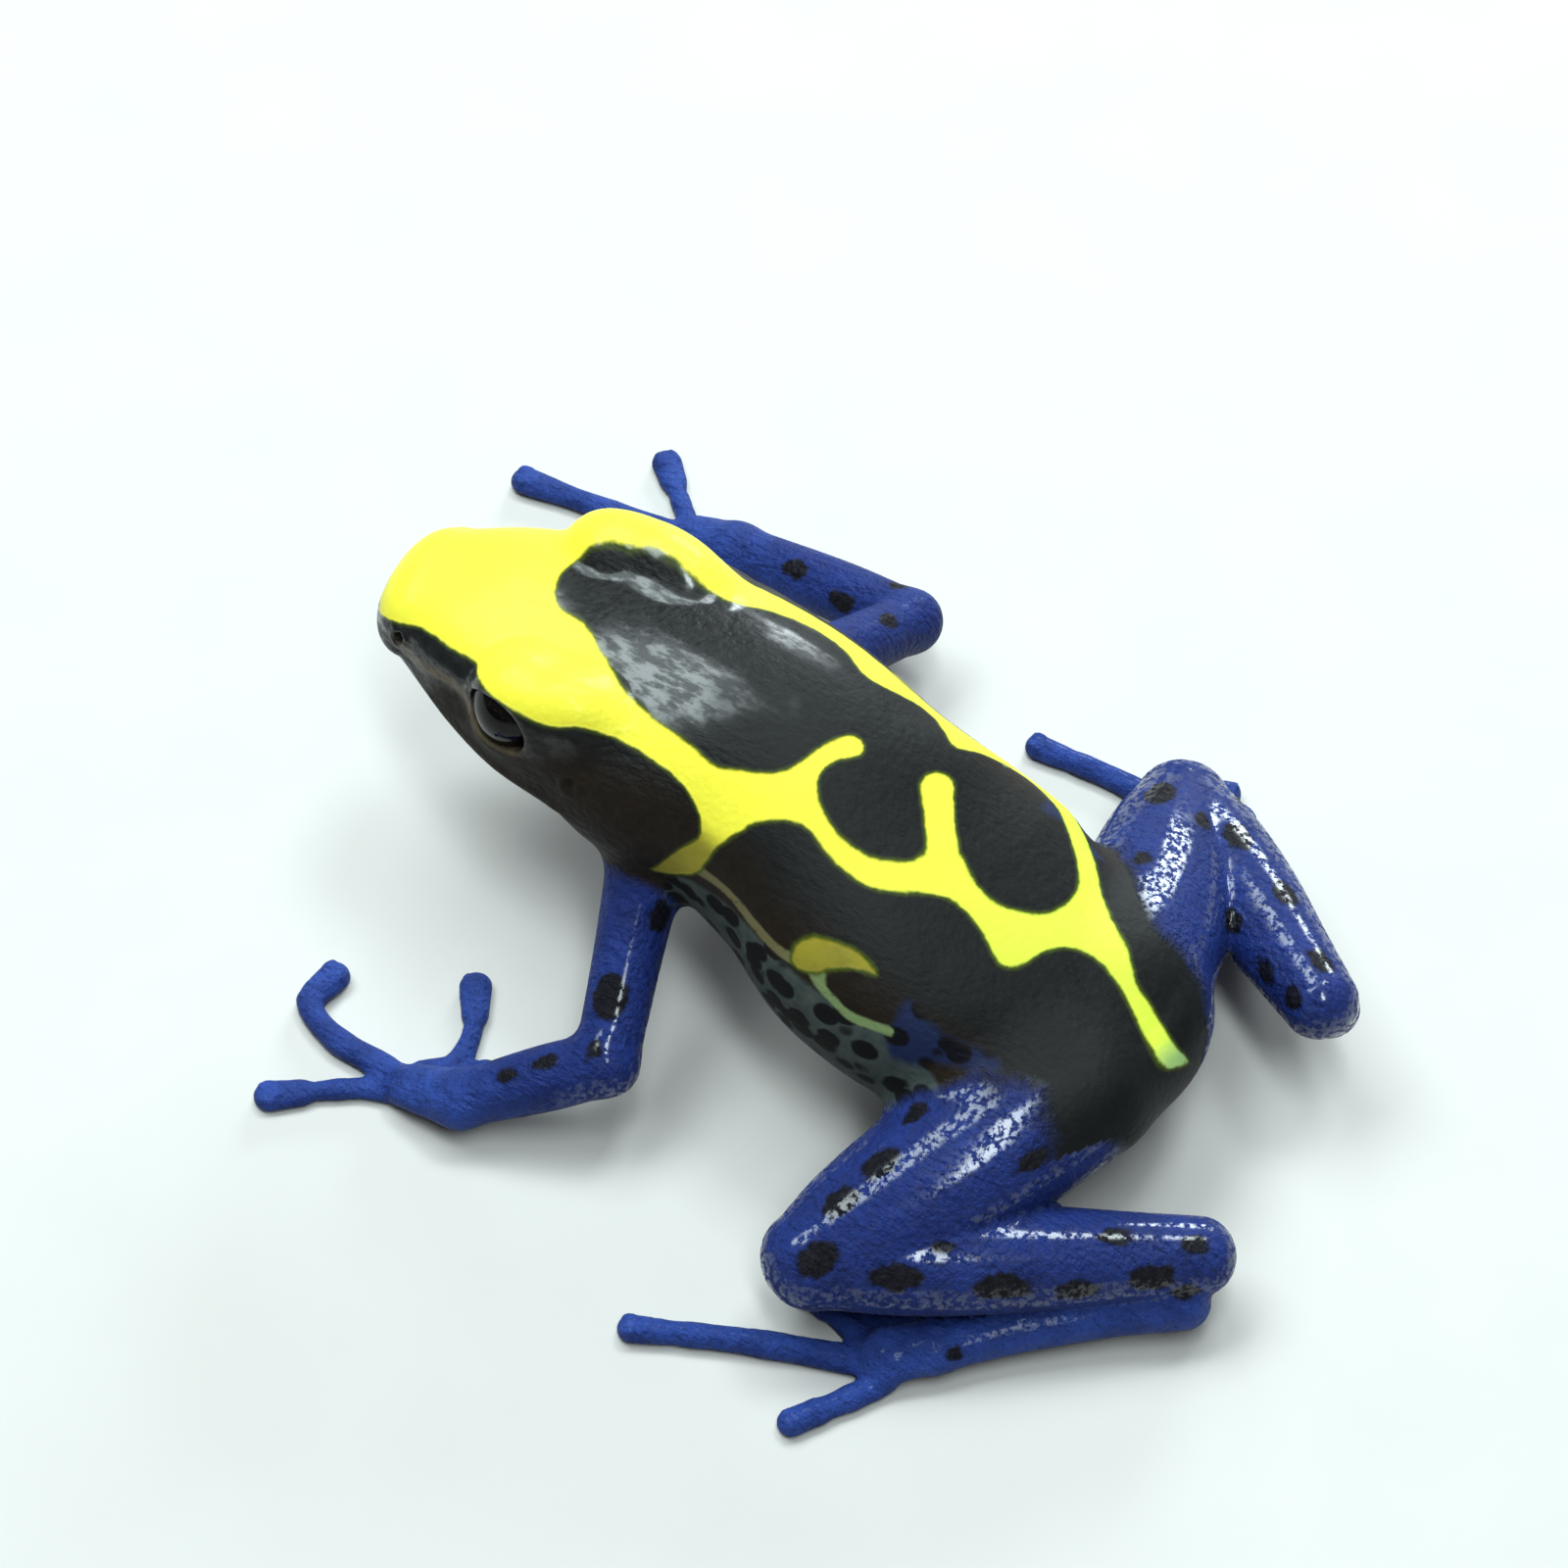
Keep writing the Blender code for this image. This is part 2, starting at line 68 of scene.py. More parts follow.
# The trunk, with the solids' sizes: share of the body length, sideways shift, height of its widest
# line, half width, reach above that line, reach below it, squareness above, squareness below
BODY_LENGTH = 41.3
SNOUT_Y = -19.0
TRUNK = (
    (0.045, 1.90, 11.7, 3.4, 2.6, 1.3, 2.6, 2.0),
    (0.12, 1.50, 11.1, 5.15, 3.7, 2.1, 2.5, 1.9),
    (0.20, 1.15, 10.8, 6.5, 4.1, 2.9, 2.3, 1.9),
    (0.28, 0.85, 10.7, 7.1, 4.5, 3.7, 2.2, 1.9),
    (0.36, 0.80, 10.5, 7.4, 4.9, 4.7, 2.1, 2.0),
    (0.45, 0.80, 10.2, 7.0, 5.2, 5.7, 2.1, 2.1),
    (0.55, 1.65, 9.4, 7.0, 5.4, 6.1, 2.1, 2.1),
    (0.65, 2.50, 8.3, 7.9, 5.1, 6.0, 2.1, 2.1),
    (0.74, 2.60, 7.4, 7.9, 4.7, 5.4, 2.1, 2.1),
    (0.82, 2.45, 6.8, 6.5, 4.1, 4.7, 2.1, 2.1),
    (0.89, 2.10, 6.3, 4.9, 3.4, 3.9, 2.1, 2.1),
    (0.95, 2.00, 5.9, 2.8, 2.6, 2.8, 2.1, 2.1),
)
SNOUT_CAP = 2.2
RUMP_CAP = 1.9

# The head, as millimetres behind the snout, reach sideways from the middle and height over the floor
EYE = (8.508, 4.25, 13.2)
EYE_RADIUS = 2.15
LID = (10.9, 4.4, 13.2)
LID_REACH = (3.7, 2.15, 2.65)
LID_TURN = math.radians(12)
LID_THICKNESS = 0.28
LID_EDGE = 0.3
LID_FLOW = 1.0
RIM_FLOW = 0.5
SOCKET_FLOOR = 0.7
GAZE_RISE = math.radians(12)
GAZE_AHEAD = math.radians(13)
OPENING_REACH = (1.75, 1.25)
NOSTRIL = (1.86, 3.15, 12.75)
NOSTRIL_RADIUS = 0.3
EAR = (12.8, 6.1, 12.2)
EAR_RADIUS = 0.95
LORE = (4.3, 6.9, 12.9)
LORE_REACH = (2.6, 2.2, 1.0)
LORE_FLOW = 0.9
RIM_SWELL = 0.12
DRUM_RIM = 0.1
LIP_UNDER_WIDEST = 0.25
LIP_SWELL = 0.13
LIP_MIDDLE = 0.42
LIP_WIDTH = 0.32
JAW_STEP = 0.15
MOUTH_DEPTH = 0.3
MOUTH_WIDTH = 0.13
JAW_CORNER = 12.6
HEAD_END = 17.0
HEAD_LOW = 8.0

# Joints of the legs and arms, as places and heights over the floor
HIPS = {"left": (5.5, 18.5, 6.4), "right": (0.2, 17.8, 6.4)}
KNEES = {"left": (17.9, 12.4, 4.1), "right": (-11.4, 14.3, 3.4)}
HEELS = {"left": (8.5, 26.1, 3.2), "right": (-3.7, 25.1, 6.0)}
ANKLES = {"left": (10.0, 26.2, 1.8), "right": (-4.2, 25.4, 5.0)}
SOLES = {"left": (17.2, 18.2, 1.1), "right": (-11.9, 17.3, 1.1)}
SHOULDERS = {"left": (5.0, -3.6, 8.2), "right": (-3.6, -3.6, 8.2)}
ELBOWS = {"left": (14.3, -0.2, 4.0), "right": (-13.7, -1.5, 3.6)}
WRISTS = {"left": (18.1, -5.4, 1.7), "right": (-14.2, -11.6, 1.8)}
PALMS = {"left": (18.4, -8.0, 1.0), "right": (-14.4, -14.2, 1.0)}

# Girth of each limb: share of its length, half width across, half height
THIGH = ((0.0, 3.4, 3.1), (0.3, 3.6, 3.2), (0.6, 3.4, 2.95), (0.85, 2.85, 2.5), (1.0, 2.2, 2.1))
SHANK = ((0.0, 2.0, 1.95), (0.25, 2.4, 2.3), (0.5, 2.35, 2.25), (0.8, 1.95, 1.9), (1.0, 1.7, 1.65))
TARSUS = ((0.0, 1.35, 1.3), (0.3, 1.05, 1.0), (0.7, 1.0, 0.9), (1.0, 1.2, 0.9))
UPPER_ARM = ((0.0, 1.9, 1.9), (0.5, 1.55, 1.55), (1.0, 1.4, 1.4))
FOREARM = ((0.0, 1.4, 1.4), (0.4, 1.48, 1.45), (1.0, 1.25, 1.1))
HAND = ((0.0, 1.15, 1.0), (0.6, 1.25, 0.85), (1.0, 1.1, 0.7))
FOOT = ((0.0, 1.1, 0.85), (1.0, 1.35, 0.85))
FOOT_REACH = 1.9
FOOT_DROP = 0.15

# Bends of the digits as places on the floor, from the inner digit to the outer one
TOES = {
    "left": (
        ((17.2, 17.1), (15.9, 15.7)),
        ((17.5, 16.7), (16.2, 13.0)),
        ((18.3, 16.3), (17.5, 12.1)),
        ((19.1, 15.8), (20.9, 11.2), (23.0, 6.7)),
        ((19.6, 17.0), (23.1, 14.8)),
    ),
    "right": (
        ((-11.2, 15.9), (-9.8, 15.0)),
        ((-11.5, 15.4), (-10.2, 13.3)),
        ((-12.0, 15.0), (-11.4, 13.2)),
        ((-12.6, 14.8), (-12.9, 10.8), (-12.6, 6.2)),
        ((-13.1, 15.6), (-15.0, 15.0)),
    ),
}
FINGERS = {
    "left": (
        ((17.2, -7.0), (15.9, -5.8)),
        ((17.4, -8.3), (16.1, -7.2), (14.3, -7.5), (12.3, -8.7)),
        ((18.0, -9.8), (17.9, -12.5), (17.0, -14.5), (15.3, -14.4)),
        ((19.4, -10.1), (21.8, -13.2)),
    ),
    "right": (
        ((-13.0, -13.6), (-11.0, -13.0)),
        ((-13.3, -15.2), (-11.3, -18.0)),
        ((-14.1, -16.2), (-13.2, -23.2)),
        ((-15.4, -15.2), (-17.9, -18.0)),
    ),
}
TOE_RADII = (0.43, 0.46, 0.5, 0.56, 0.53)
TOE_DISC = 0.62
FINGER_RADII = (0.42, 0.46, 0.56, 0.45)
FINGER_DISC = 0.75
ROOT_SPREAD = 0.35
FLOOR_BITE = 0.12
FLOOR_EDGE = 0.05

# The two plates on a disc, their middles and their reaches: shares of the disc's radius along the
# digit and across it, and of the digit's radius upwards
PLATE_PLACE = (0.1, 0.42, 0.72)
PLATE_REACH = (0.62, 0.4, 0.34)
PLATE_FLOW = 0.08

# How finely the skin is cut, in millimetres between points: everywhere, on the head, at the lids and the lips
GRID_STEP = 0.28
GRID_MARGIN = 1.0
HEAD_STEP = 0.2
FINE_STEP = 0.1

# The camera: turned from straight ahead of the frog, raised, distance to the point it looks at,
# that point, lens
CAMERA_TURN = math.radians(122)
CAMERA_RISE = math.radians(55)
CAMERA_DISTANCE = 180.0
CAMERA_TARGET = (0.0, 0.0, 8.0)
CAMERA_LENS = 93.15


class Stations:
    """Sizes that change smoothly along a part, from a few rows of a share and its values."""

    def __init__(self, rows):
        rows = np.array(rows, float)
        share = rows[:, 0]
        ends = np.vstack([rows[:1], rows, rows[-1:]])
        slope = (ends[2:, 1:] - ends[:-2, 1:]) / (ends[2:, :1] - ends[:-2, :1])
        self.first, self.last = share[0], share[-1]
        self.share = np.linspace(self.first, self.last, 400)
        i = np.clip(np.searchsorted(share, self.share, "right") - 1, 0, len(share) - 2)
        gap = (share[i + 1] - share[i])[:, None]
        t = ((self.share - share[i])[:, None]) / gap
        low, high = rows[i, 1:], rows[i + 1, 1:]
        self.values = (
            (2 * t**3 - 3 * t**2 + 1) * low
            + (t**3 - 2 * t**2 + t) * slope[i] * gap
            + (3 * t**2 - 2 * t**3) * high
            + (t**3 - t**2) * slope[i + 1] * gap
        )

    def at(self, share):
        return [np.interp(share, self.share, column) for column in self.values.T]


TRUNK_SIZES = Stations(TRUNK)
TRUNK_LEAN = np.gradient(TRUNK_SIZES.values[:, 0], TRUNK_SIZES.share * BODY_LENGTH)


def unit(vectors):
    return vectors / np.maximum(np.linalg.norm(vectors, axis=-1, keepdims=True), 1e-9)


def melt(a, b, width):
    """The nearer of two surfaces, which flow together over this width."""
    overlap = np.maximum(width - np.abs(a - b), 0.0) / width
    return np.minimum(a, b) - overlap * overlap * width / 4


def carve(body, tool, width):
    """The body with the tool cut out of it and the edge rounded over this width."""
    return -melt(-body, tool, width)


def ridge(distance, width):
    """One along a line, falling away smoothly over this width on either side of it."""
    return np.exp(-((distance / width) ** 2))


def rise(value, low, high):
    """Nought below the low value, one above the high one and smooth between them."""
    t = np.clip((value - low) / (high - low), 0.0, 1.0)
    return t * t * (3 - 2 * t)


def from_middle(offsets, reaches):
    """How far out of a rounded body a point lies, from its offsets from the middle and the reaches."""
    swell = np.sqrt(sum((offset / reach) ** 2 for offset, reach in zip(offsets, reaches)))
    size = np.sqrt(sum(offset**2 for offset in offsets))
    middle = -np.min(np.broadcast_arrays(*reaches), axis=0)
    return np.where(swell > 1e-3, size - size / np.maximum(swell, 1e-3), middle)


def trunk_place(points):
    """Share of the body length, sideways place and height over the widest line of the trunk."""
    share = (points[:, 1] - SNOUT_Y) / BODY_LENGTH
    for _ in range(3):
        held = np.clip(share, TRUNK_SIZES.first, TRUNK_SIZES.last)
        side, height = TRUNK_SIZES.at(held)[:2]
        lean = np.interp(held, TRUNK_SIZES.share, TRUNK_LEAN)
        stretch = np.sqrt(1 + lean**2)
        past = (share - held) * BODY_LENGTH
        dx = points[:, 0] - side - past * lean / stretch
        dy = points[:, 1] - SNOUT_Y - held * BODY_LENGTH - past / stretch
        share = share + (dx * lean + dy) / stretch / BODY_LENGTH
    return share, (dx - dy * lean) / stretch, points[:, 2] - height


def trunk_depth(share, sideways, over):
    """How far out of the bare trunk each place lies, below nought inside it."""
    held = np.clip(share, TRUNK_SIZES.first, TRUNK_SIZES.last)
    _, _, width, top, bottom, square_top, square_bottom = TRUNK_SIZES.at(held)
    square = np.where(over > 0, square_top, square_bottom)
    tall = np.where(over > 0, top, bottom)
    past = (share - held) * BODY_LENGTH
    loop = ((np.abs(sideways) / width) ** square + (np.abs(over) / tall) ** square) ** (1 / square)
    swell = np.sqrt(loop**2 + (past / np.where(past > 0, RUMP_CAP, SNOUT_CAP)) ** 2)
    size = np.sqrt(sideways**2 + over**2 + past**2)
    return np.where(swell > 1e-3, size - size / np.maximum(swell, 1e-3), -bottom)


def head_forms(depth, behind, sideways, height, lip):
    """The trunk's surface with lids, lores, lips, nostrils and ear drums on both sides of the head."""
    out = np.abs(sideways)
    back, side = behind - LID[0], out - LID[1]
    along = back * math.cos(LID_TURN) - side * math.sin(LID_TURN)
    across = back * math.sin(LID_TURN) + side * math.cos(LID_TURN)
    depth = melt(depth, from_middle((along, across, height - LID[2]), LID_REACH), LID_FLOW)

    def offsets(place):
        return behind - place[0], out - place[1], height - place[2]

    lid_rim = (EYE_RADIUS + LID_THICKNESS,) * 3
    depth = melt(depth, from_middle(offsets(EYE), lid_rim), RIM_FLOW)
    depth = carve(depth, from_middle(offsets(LORE), LORE_REACH), LORE_FLOW)
    on_head = 1 - rise(behind, JAW_CORNER - 1.2, JAW_CORNER + 1.2)
    depth = depth - LIP_SWELL * ridge(lip - LIP_MIDDLE, LIP_WIDTH) * on_head
    depth = depth + JAW_STEP * rise(-lip, -0.05, 0.1) * on_head
    mouth = np.hypot(lip, np.maximum(behind - JAW_CORNER, 0))
    depth = depth + MOUTH_DEPTH * ridge(mouth, MOUTH_WIDTH)
    nostril = np.linalg.norm(offsets(NOSTRIL), axis=0)
    depth = depth - RIM_SWELL * ridge(nostril - NOSTRIL_RADIUS - RIM_SWELL, 0.16)
    depth = carve(depth, nostril - NOSTRIL_RADIUS, 0.12)
    drum = np.linalg.norm(offsets(EAR), axis=0)
    depth = depth - DRUM_RIM * ridge(drum - EAR_RADIUS, 0.16)
    return depth + DRUM_RIM * rise(EAR_RADIUS - drum, 0.0, 0.35)


def open_lids(depth, behind, sideways, height):
    """Cuts the opening between the lids, down into the eyeball."""
    back, out, lift = behind - EYE[0], np.abs(sideways) - EYE[1], height - EYE[2]
    along = back * math.cos(GAZE_AHEAD) + out * math.sin(GAZE_AHEAD)
    away = out * math.cos(GAZE_AHEAD) - back * math.sin(GAZE_AHEAD)
    ahead = away * math.cos(GAZE_RISE) + lift * math.sin(GAZE_RISE)
    over = lift * math.cos(GAZE_RISE) - away * math.sin(GAZE_RISE)
    tunnel = np.hypot(along / OPENING_REACH[0], over / OPENING_REACH[1]) - 1
    return carve(depth, np.maximum(tunnel * OPENING_REACH[1], SOCKET_FLOOR - ahead), LID_EDGE)


class Limb:
    """A tapering length of a limb or a digit along a line of places."""

    def __init__(self, path, girth, flow, end=0.9):
        self.path = np.array(path, float)
        steps = np.linalg.norm(np.diff(self.path, axis=0), axis=1)
        self.shares = np.concatenate([[0.0], np.cumsum(steps)]) / steps.sum()
        self.length = steps.sum()
        self.girth = Stations(girth)
        self.flow = flow
        self.end = end
        room = self.girth.values.max() + 2 * flow + 0.6
        self.low, self.high = self.path.min(0) - room, self.path.max(0) + room

    def near(self, points):
        return np.flatnonzero(((points > self.low) & (points < self.high)).all(1))

    def place(self, points):
        """Share of the length, offset from the line and the line's direction at the nearest place."""
        best = np.full(len(points), np.inf)
        share = np.zeros(len(points))
        offset = np.zeros_like(points)
        forward = np.zeros_like(points)
        for k, (a, b) in enumerate(zip(self.path, self.path[1:])):
            axis = b - a
            t = np.clip((points - a) @ axis / (axis @ axis), 0.0, 1.0)
            away = points - a - t[:, None] * axis
            far = np.einsum("ij,ij->i", away, away)
            nearer = far < best
            best[nearer] = far[nearer]
            share[nearer] = self.shares[k] + t[nearer] * (self.shares[k + 1] - self.shares[k])
            offset[nearer] = away[nearer]
            forward[nearer] = axis / np.linalg.norm(axis)
        return share, offset, forward

    def spread(self, points):
        """Share of the length and the offsets across, over and along the line."""
        share, offset, forward = self.place(points)
        across = unit(np.cross(UP, forward))
        over = np.cross(forward, across)
        return share, *(np.einsum("ij,ij->i", offset, way) for way in (across, over, forward))

    def depth(self, points):
        share, across, over, along = self.spread(points)
        width, height = self.girth.at(share)
        return from_middle((across, over, along), (width, height, self.end * width))


def curve_through(places, count):
    """Places at even steps of a smooth curve through the given ones."""
    places = np.array(places, float)
    steps = np.linalg.norm(np.diff(places, axis=0), axis=1)
    share = np.concatenate([[0.0], np.cumsum(steps)]) / steps.sum()
    line = Stations(np.column_stack([share, places]))
    return np.column_stack(line.at(np.linspace(0, 1, count)))


def digit(palm, bends, radius, disc):
    """A finger or toe along the floor, with a flat disc at its tip and two small plates on the disc."""
    root = np.array(palm[:2]) + ROOT_SPREAD * (np.array(bends[0]) - palm[:2])
    height = radius - FLOOR_BITE
    path = curve_through([(x, y, height) for x, y in (root, *bends)], 3 * len(bends) + 4)
    length = np.linalg.norm(np.diff(path, axis=0), axis=1).sum()
    rows = []
    for share in np.linspace(0, 1, 24):
        left = (1 - share) * length
        swell = max(0.0, 1 - left / (2.5 * disc)) ** 0.5
        knuckle = 0.05 * (ridge(share - 0.45, 0.07) + ridge(share - 0.75, 0.05))
        taper = 1.2 - 0.35 * share + 0.4 * max(0.0, 0.3 - share)
        width = radius * taper + knuckle + (disc - 0.85 * radius) * swell
        rows.append((share, width, radius * (1 + 0.1 * knuckle)))
    finger = Limb(path, rows, 0.45, 1.0)
    forward = unit(path[-1] - path[-2])
    across = np.cross(UP, forward)
    ahead, aside, above = PLATE_PLACE
    middle = path[-1] + forward * ahead * disc
    plates = [middle + across * aside * disc * sign + UP * above * radius for sign in (-1, 1)]
    size = (PLATE_REACH[0] * disc, PLATE_REACH[1] * disc, PLATE_REACH[2] * radius)
    return finger, [(plate, forward, across, size) for plate in plates]


def limbs_of(side):
    """The lengths of the arm and leg on this side, and the plates on its digits."""
    joints = (HIPS, KNEES, HEELS, ANKLES, SOLES)
    hip, knee, heel, ankle, sole = (np.array(place[side]) for place in joints)
    ball_of_foot = sole + unit(sole - ankle) * FOOT_REACH
    ball_of_foot[2] = sole[2] - FOOT_DROP
    lengths = {
        "thigh": Limb((hip, knee), THIGH, 1.8),
        "shank": Limb((knee, heel), SHANK, 0.18),
        "tarsus": Limb((ankle, sole), TARSUS, 0.3),
        "foot": Limb((sole, ball_of_foot), FOOT, 0.6),
        "upper_arm": Limb((SHOULDERS[side], ELBOWS[side]), UPPER_ARM, 1.4),
        "forearm": Limb((ELBOWS[side], WRISTS[side]), FOREARM, 0.7),
        "hand": Limb((WRISTS[side], PALMS[side]), HAND, 0.9),
    }
    plates = []
    for name, palm, paths, radii, disc in (
        ("toe", ball_of_foot, TOES[side], TOE_RADII, TOE_DISC),
        ("finger", PALMS[side], FINGERS[side], FINGER_RADII, FINGER_DISC),
    ):
        for k, (bends, radius) in enumerate(zip(paths, radii)):
            lengths[f"{name}{k}"], pair = digit(palm, bends, radius, disc)
            plates += pair
    return lengths, plates


LIMBS = {side: limbs_of(side) for side in ("left", "right")}


def skin_depth(points):
    """How far out of the skin each point lies, in millimetres, below nought inside it."""
    share, sideways, over = trunk_place(points)
    behind = share * BODY_LENGTH
    depth = trunk_depth(share, sideways, over)
    head = np.flatnonzero((behind < HEAD_END) & (depth < 5))
    lip = over[head] + LIP_UNDER_WIDEST
    depth[head] = head_forms(depth[head], behind[head], sideways[head], points[head, 2], lip)
    for lengths, plates in LIMBS.values():
        for part in lengths.values():
            near = part.near(points)
            depth[near] = melt(depth[near], part.depth(points[near]), part.flow)
        for middle, forward, across, size in plates:
            near = np.flatnonzero((np.abs(points - middle) < 1.5).all(1))
            away = points[near] - middle
            plate = from_middle((away @ forward, away @ across, away[:, 2]), size)
            depth[near] = melt(depth[near], plate, PLATE_FLOW)
    depth[head] = open_lids(depth[head], behind[head], sideways[head], points[head, 2])
    return carve(depth, points[:, 2], FLOOR_EDGE)


def settle(points, rounds=3):
    """Moves points straight onto the skin."""
    step = 0.02
    for _ in range(rounds):
        depth = skin_depth(points)
        slope = np.empty_like(points)
        for axis in range(3):
            nudge = np.zeros(3)
            nudge[axis] = step
            slope[:, axis] = (skin_depth(points + nudge) - depth) / step
        steep = np.maximum(np.einsum("ij,ij->i", slope, slope), 0.1)
        move = depth[:, None] * slope / steep[:, None]
        size = np.linalg.norm(move, axis=1, keepdims=True)
        points = points - move * np.minimum(1.0, 0.3 / np.maximum(size, 1e-9))
    return points


def grid_cells():
    """The cells of an even grid that the skin passes through, and the four-sided faces between them."""
    low = np.array(solid_box[0]) / MM - SHIFT - GRID_MARGIN
    high = np.array(solid_box[1]) / MM - SHIFT + GRID_MARGIN
    axes = [np.arange(a, b, GRID_STEP) for a, b in zip(low, high)]
    inside = np.empty([len(axis) for axis in axes], bool)
    across = np.stack(np.meshgrid(axes[0], axes[2], indexing="ij"), -1)
    for j, y in enumerate(axes[1]):
        layer = np.insert(across.reshape(-1, 2), 1, y, axis=1)
        inside[:, j] = (skin_depth(layer) < 0).reshape(across.shape[:2])
    filled = sum(
        inside[tuple(slice(c, n - 1 + c) for c, n in zip(corner, inside.shape))].astype(np.int8)
        for corner in itertools.product((0, 1), repeat=3)
    )
    mixed = (filled > 0) & (filled < 8)
    number = np.full(mixed.shape, -1)
    number[mixed] = np.arange(mixed.sum())
    quads = []
    for axis in range(3):
        order = (axis, (axis + 1) % 3, (axis + 2) % 3)
        corner, cell = inside.transpose(order), number.transpose(order)
        i, j, k = np.nonzero(corner[1:, 1:-1, 1:-1] != corner[:-1, 1:-1, 1:-1])
        loop = np.stack([cell[i, j, k], cell[i, j + 1, k], cell[i, j + 1, k + 1], cell[i, j, k + 1]], 1)
        inward = ~corner[i, j + 1, k + 1]
        loop[inward] = loop[inward][:, ::-1]
        quads.append(loop)
    places = np.argwhere(mixed) + 0.5
    return low + places * GRID_STEP, np.concatenate(quads)


def even_out(points, mesh, rounds):
    """Draws each point towards the middle of its neighbours, back on the skin each time."""
    edges = np.empty(len(mesh.edges) * 2, np.int32)
    mesh.edges.foreach_get("vertices", edges)
    a, b = edges.reshape(-1, 2).T
    count = np.bincount(np.concatenate([a, b]), minlength=len(points))[:, None]
    for _ in range(rounds):
        total = np.zeros_like(points)
        for axis in range(3):
            drawn = np.bincount(a, points[b, axis], len(points))
            total[:, axis] = drawn + np.bincount(b, points[a, axis], len(points))
        points = settle(points * 0.5 + 0.5 * total / count, 1)
    return points


def wanted_step(points):
    """The spacing of points that the forms need here."""
    share, sideways, over = trunk_place(points)
    behind = share * BODY_LENGTH
    out = np.abs(sideways)
    step = np.full(len(points), 9.0)
    high = points[:, 2] > HEAD_LOW
    step[(behind < HEAD_END - 2) & high] = HEAD_STEP

    def away_from(place):
        offsets = (behind - place[0], out - place[1], points[:, 2] - place[2])
        return np.sqrt(sum(offset**2 for offset in offsets))

    eye, nostril = away_from(EYE), away_from(NOSTRIL)
    lips = (np.abs(over + LIP_UNDER_WIDEST) < 0.35) & (behind < JAW_CORNER + 0.4)
    lids = (eye < EYE_RADIUS + 0.5) & (out > EYE[1] + 0.2)
    step[(lips & high) | lids | (nostril < 0.8)] = FINE_STEP
    for _, plates in LIMBS.values():
        for middle, *_ in plates:
            step[np.linalg.norm(points - middle, axis=1) < 0.9] = FINE_STEP * 1.4
    return step


def skin_mesh():
    """The skin as a mesh, and its points in millimetres."""
    points, quads = grid_cells()
    mesh = bpy.data.meshes.new("skin")
    mesh.from_pydata([], [], [])
    mesh.vertices.add(len(points))
    mesh.loops.add(quads.size)
    mesh.polygons.add(len(quads))
    mesh.loops.foreach_set("vertex_index", quads.ravel())
    mesh.polygons.foreach_set("loop_start", np.arange(0, quads.size, 4))
    mesh.update(calc_edges=True)
    points = even_out(settle(points), mesh, 3)
    mesh.vertices.foreach_set("co", points.ravel())
    for _ in range(2):
        points = refine(mesh, points)
    mesh.vertices.foreach_set("co", points.ravel())
    mesh.update()
    return mesh, points


def refine(mesh, points):
    """Halves the edges that are too long for the forms near them and settles the new points."""
    mesh.vertices.foreach_set("co", points.ravel())
    edges = np.empty(len(mesh.edges) * 2, np.int32)
    mesh.edges.foreach_get("vertices", edges)
    ends = points[edges.reshape(-1, 2)]
    long = np.linalg.norm(ends[:, 0] - ends[:, 1], axis=1) > 1.4 * wanted_step(ends.mean(1))
    bm = bmesh.new()
    bm.from_mesh(mesh)
    bm.edges.ensure_lookup_table()
    chosen = [bm.edges[k] for k in np.flatnonzero(long)]
    bmesh.ops.subdivide_edges(bm, edges=chosen, cuts=1, use_grid_fill=True)
    bmesh.ops.triangulate(bm, faces=[face for face in bm.faces if len(face.verts) > 4])
    bm.to_mesh(mesh)
    bm.free()
    points = np.empty(len(mesh.vertices) * 3)
    mesh.vertices.foreach_get("co", points)
    return even_out(points.reshape(-1, 3), mesh, 2)


def head_point(place, sign):
    """A point of the head, from millimetres behind the snout, reach sideways and height."""
    share = place[0] / BODY_LENGTH
    side = float(TRUNK_SIZES.at(share)[0])
    lean = float(np.interp(EYE[0] / BODY_LENGTH, TRUNK_SIZES.share, TRUNK_LEAN))
    across = unit(np.array((1.0, -lean, 0.0)))
    return np.array((side, SNOUT_Y + place[0], 0.0)) + across * place[1] * sign + UP * place[2]


eye_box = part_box("eye_left")
SHIFT = np.array((eye_box[0] + eye_box[1]) / 2) / MM - head_point(EYE, 1)


def placed(name, mesh):
    """An object whose mesh is moved from the working frame onto the solids."""
    points = np.empty(len(mesh.vertices) * 3)
    mesh.vertices.foreach_get("co", points)
    points = (points.reshape(-1, 3) + SHIFT) * MM
    mesh.vertices.foreach_set("co", points.ravel())
    mesh.polygons.foreach_set("use_smooth", np.ones(len(mesh.polygons), bool))
    mesh.update()
    obj = bpy.data.objects.new(name, mesh)
    bpy.context.scene.collection.objects.link(obj)
    return obj


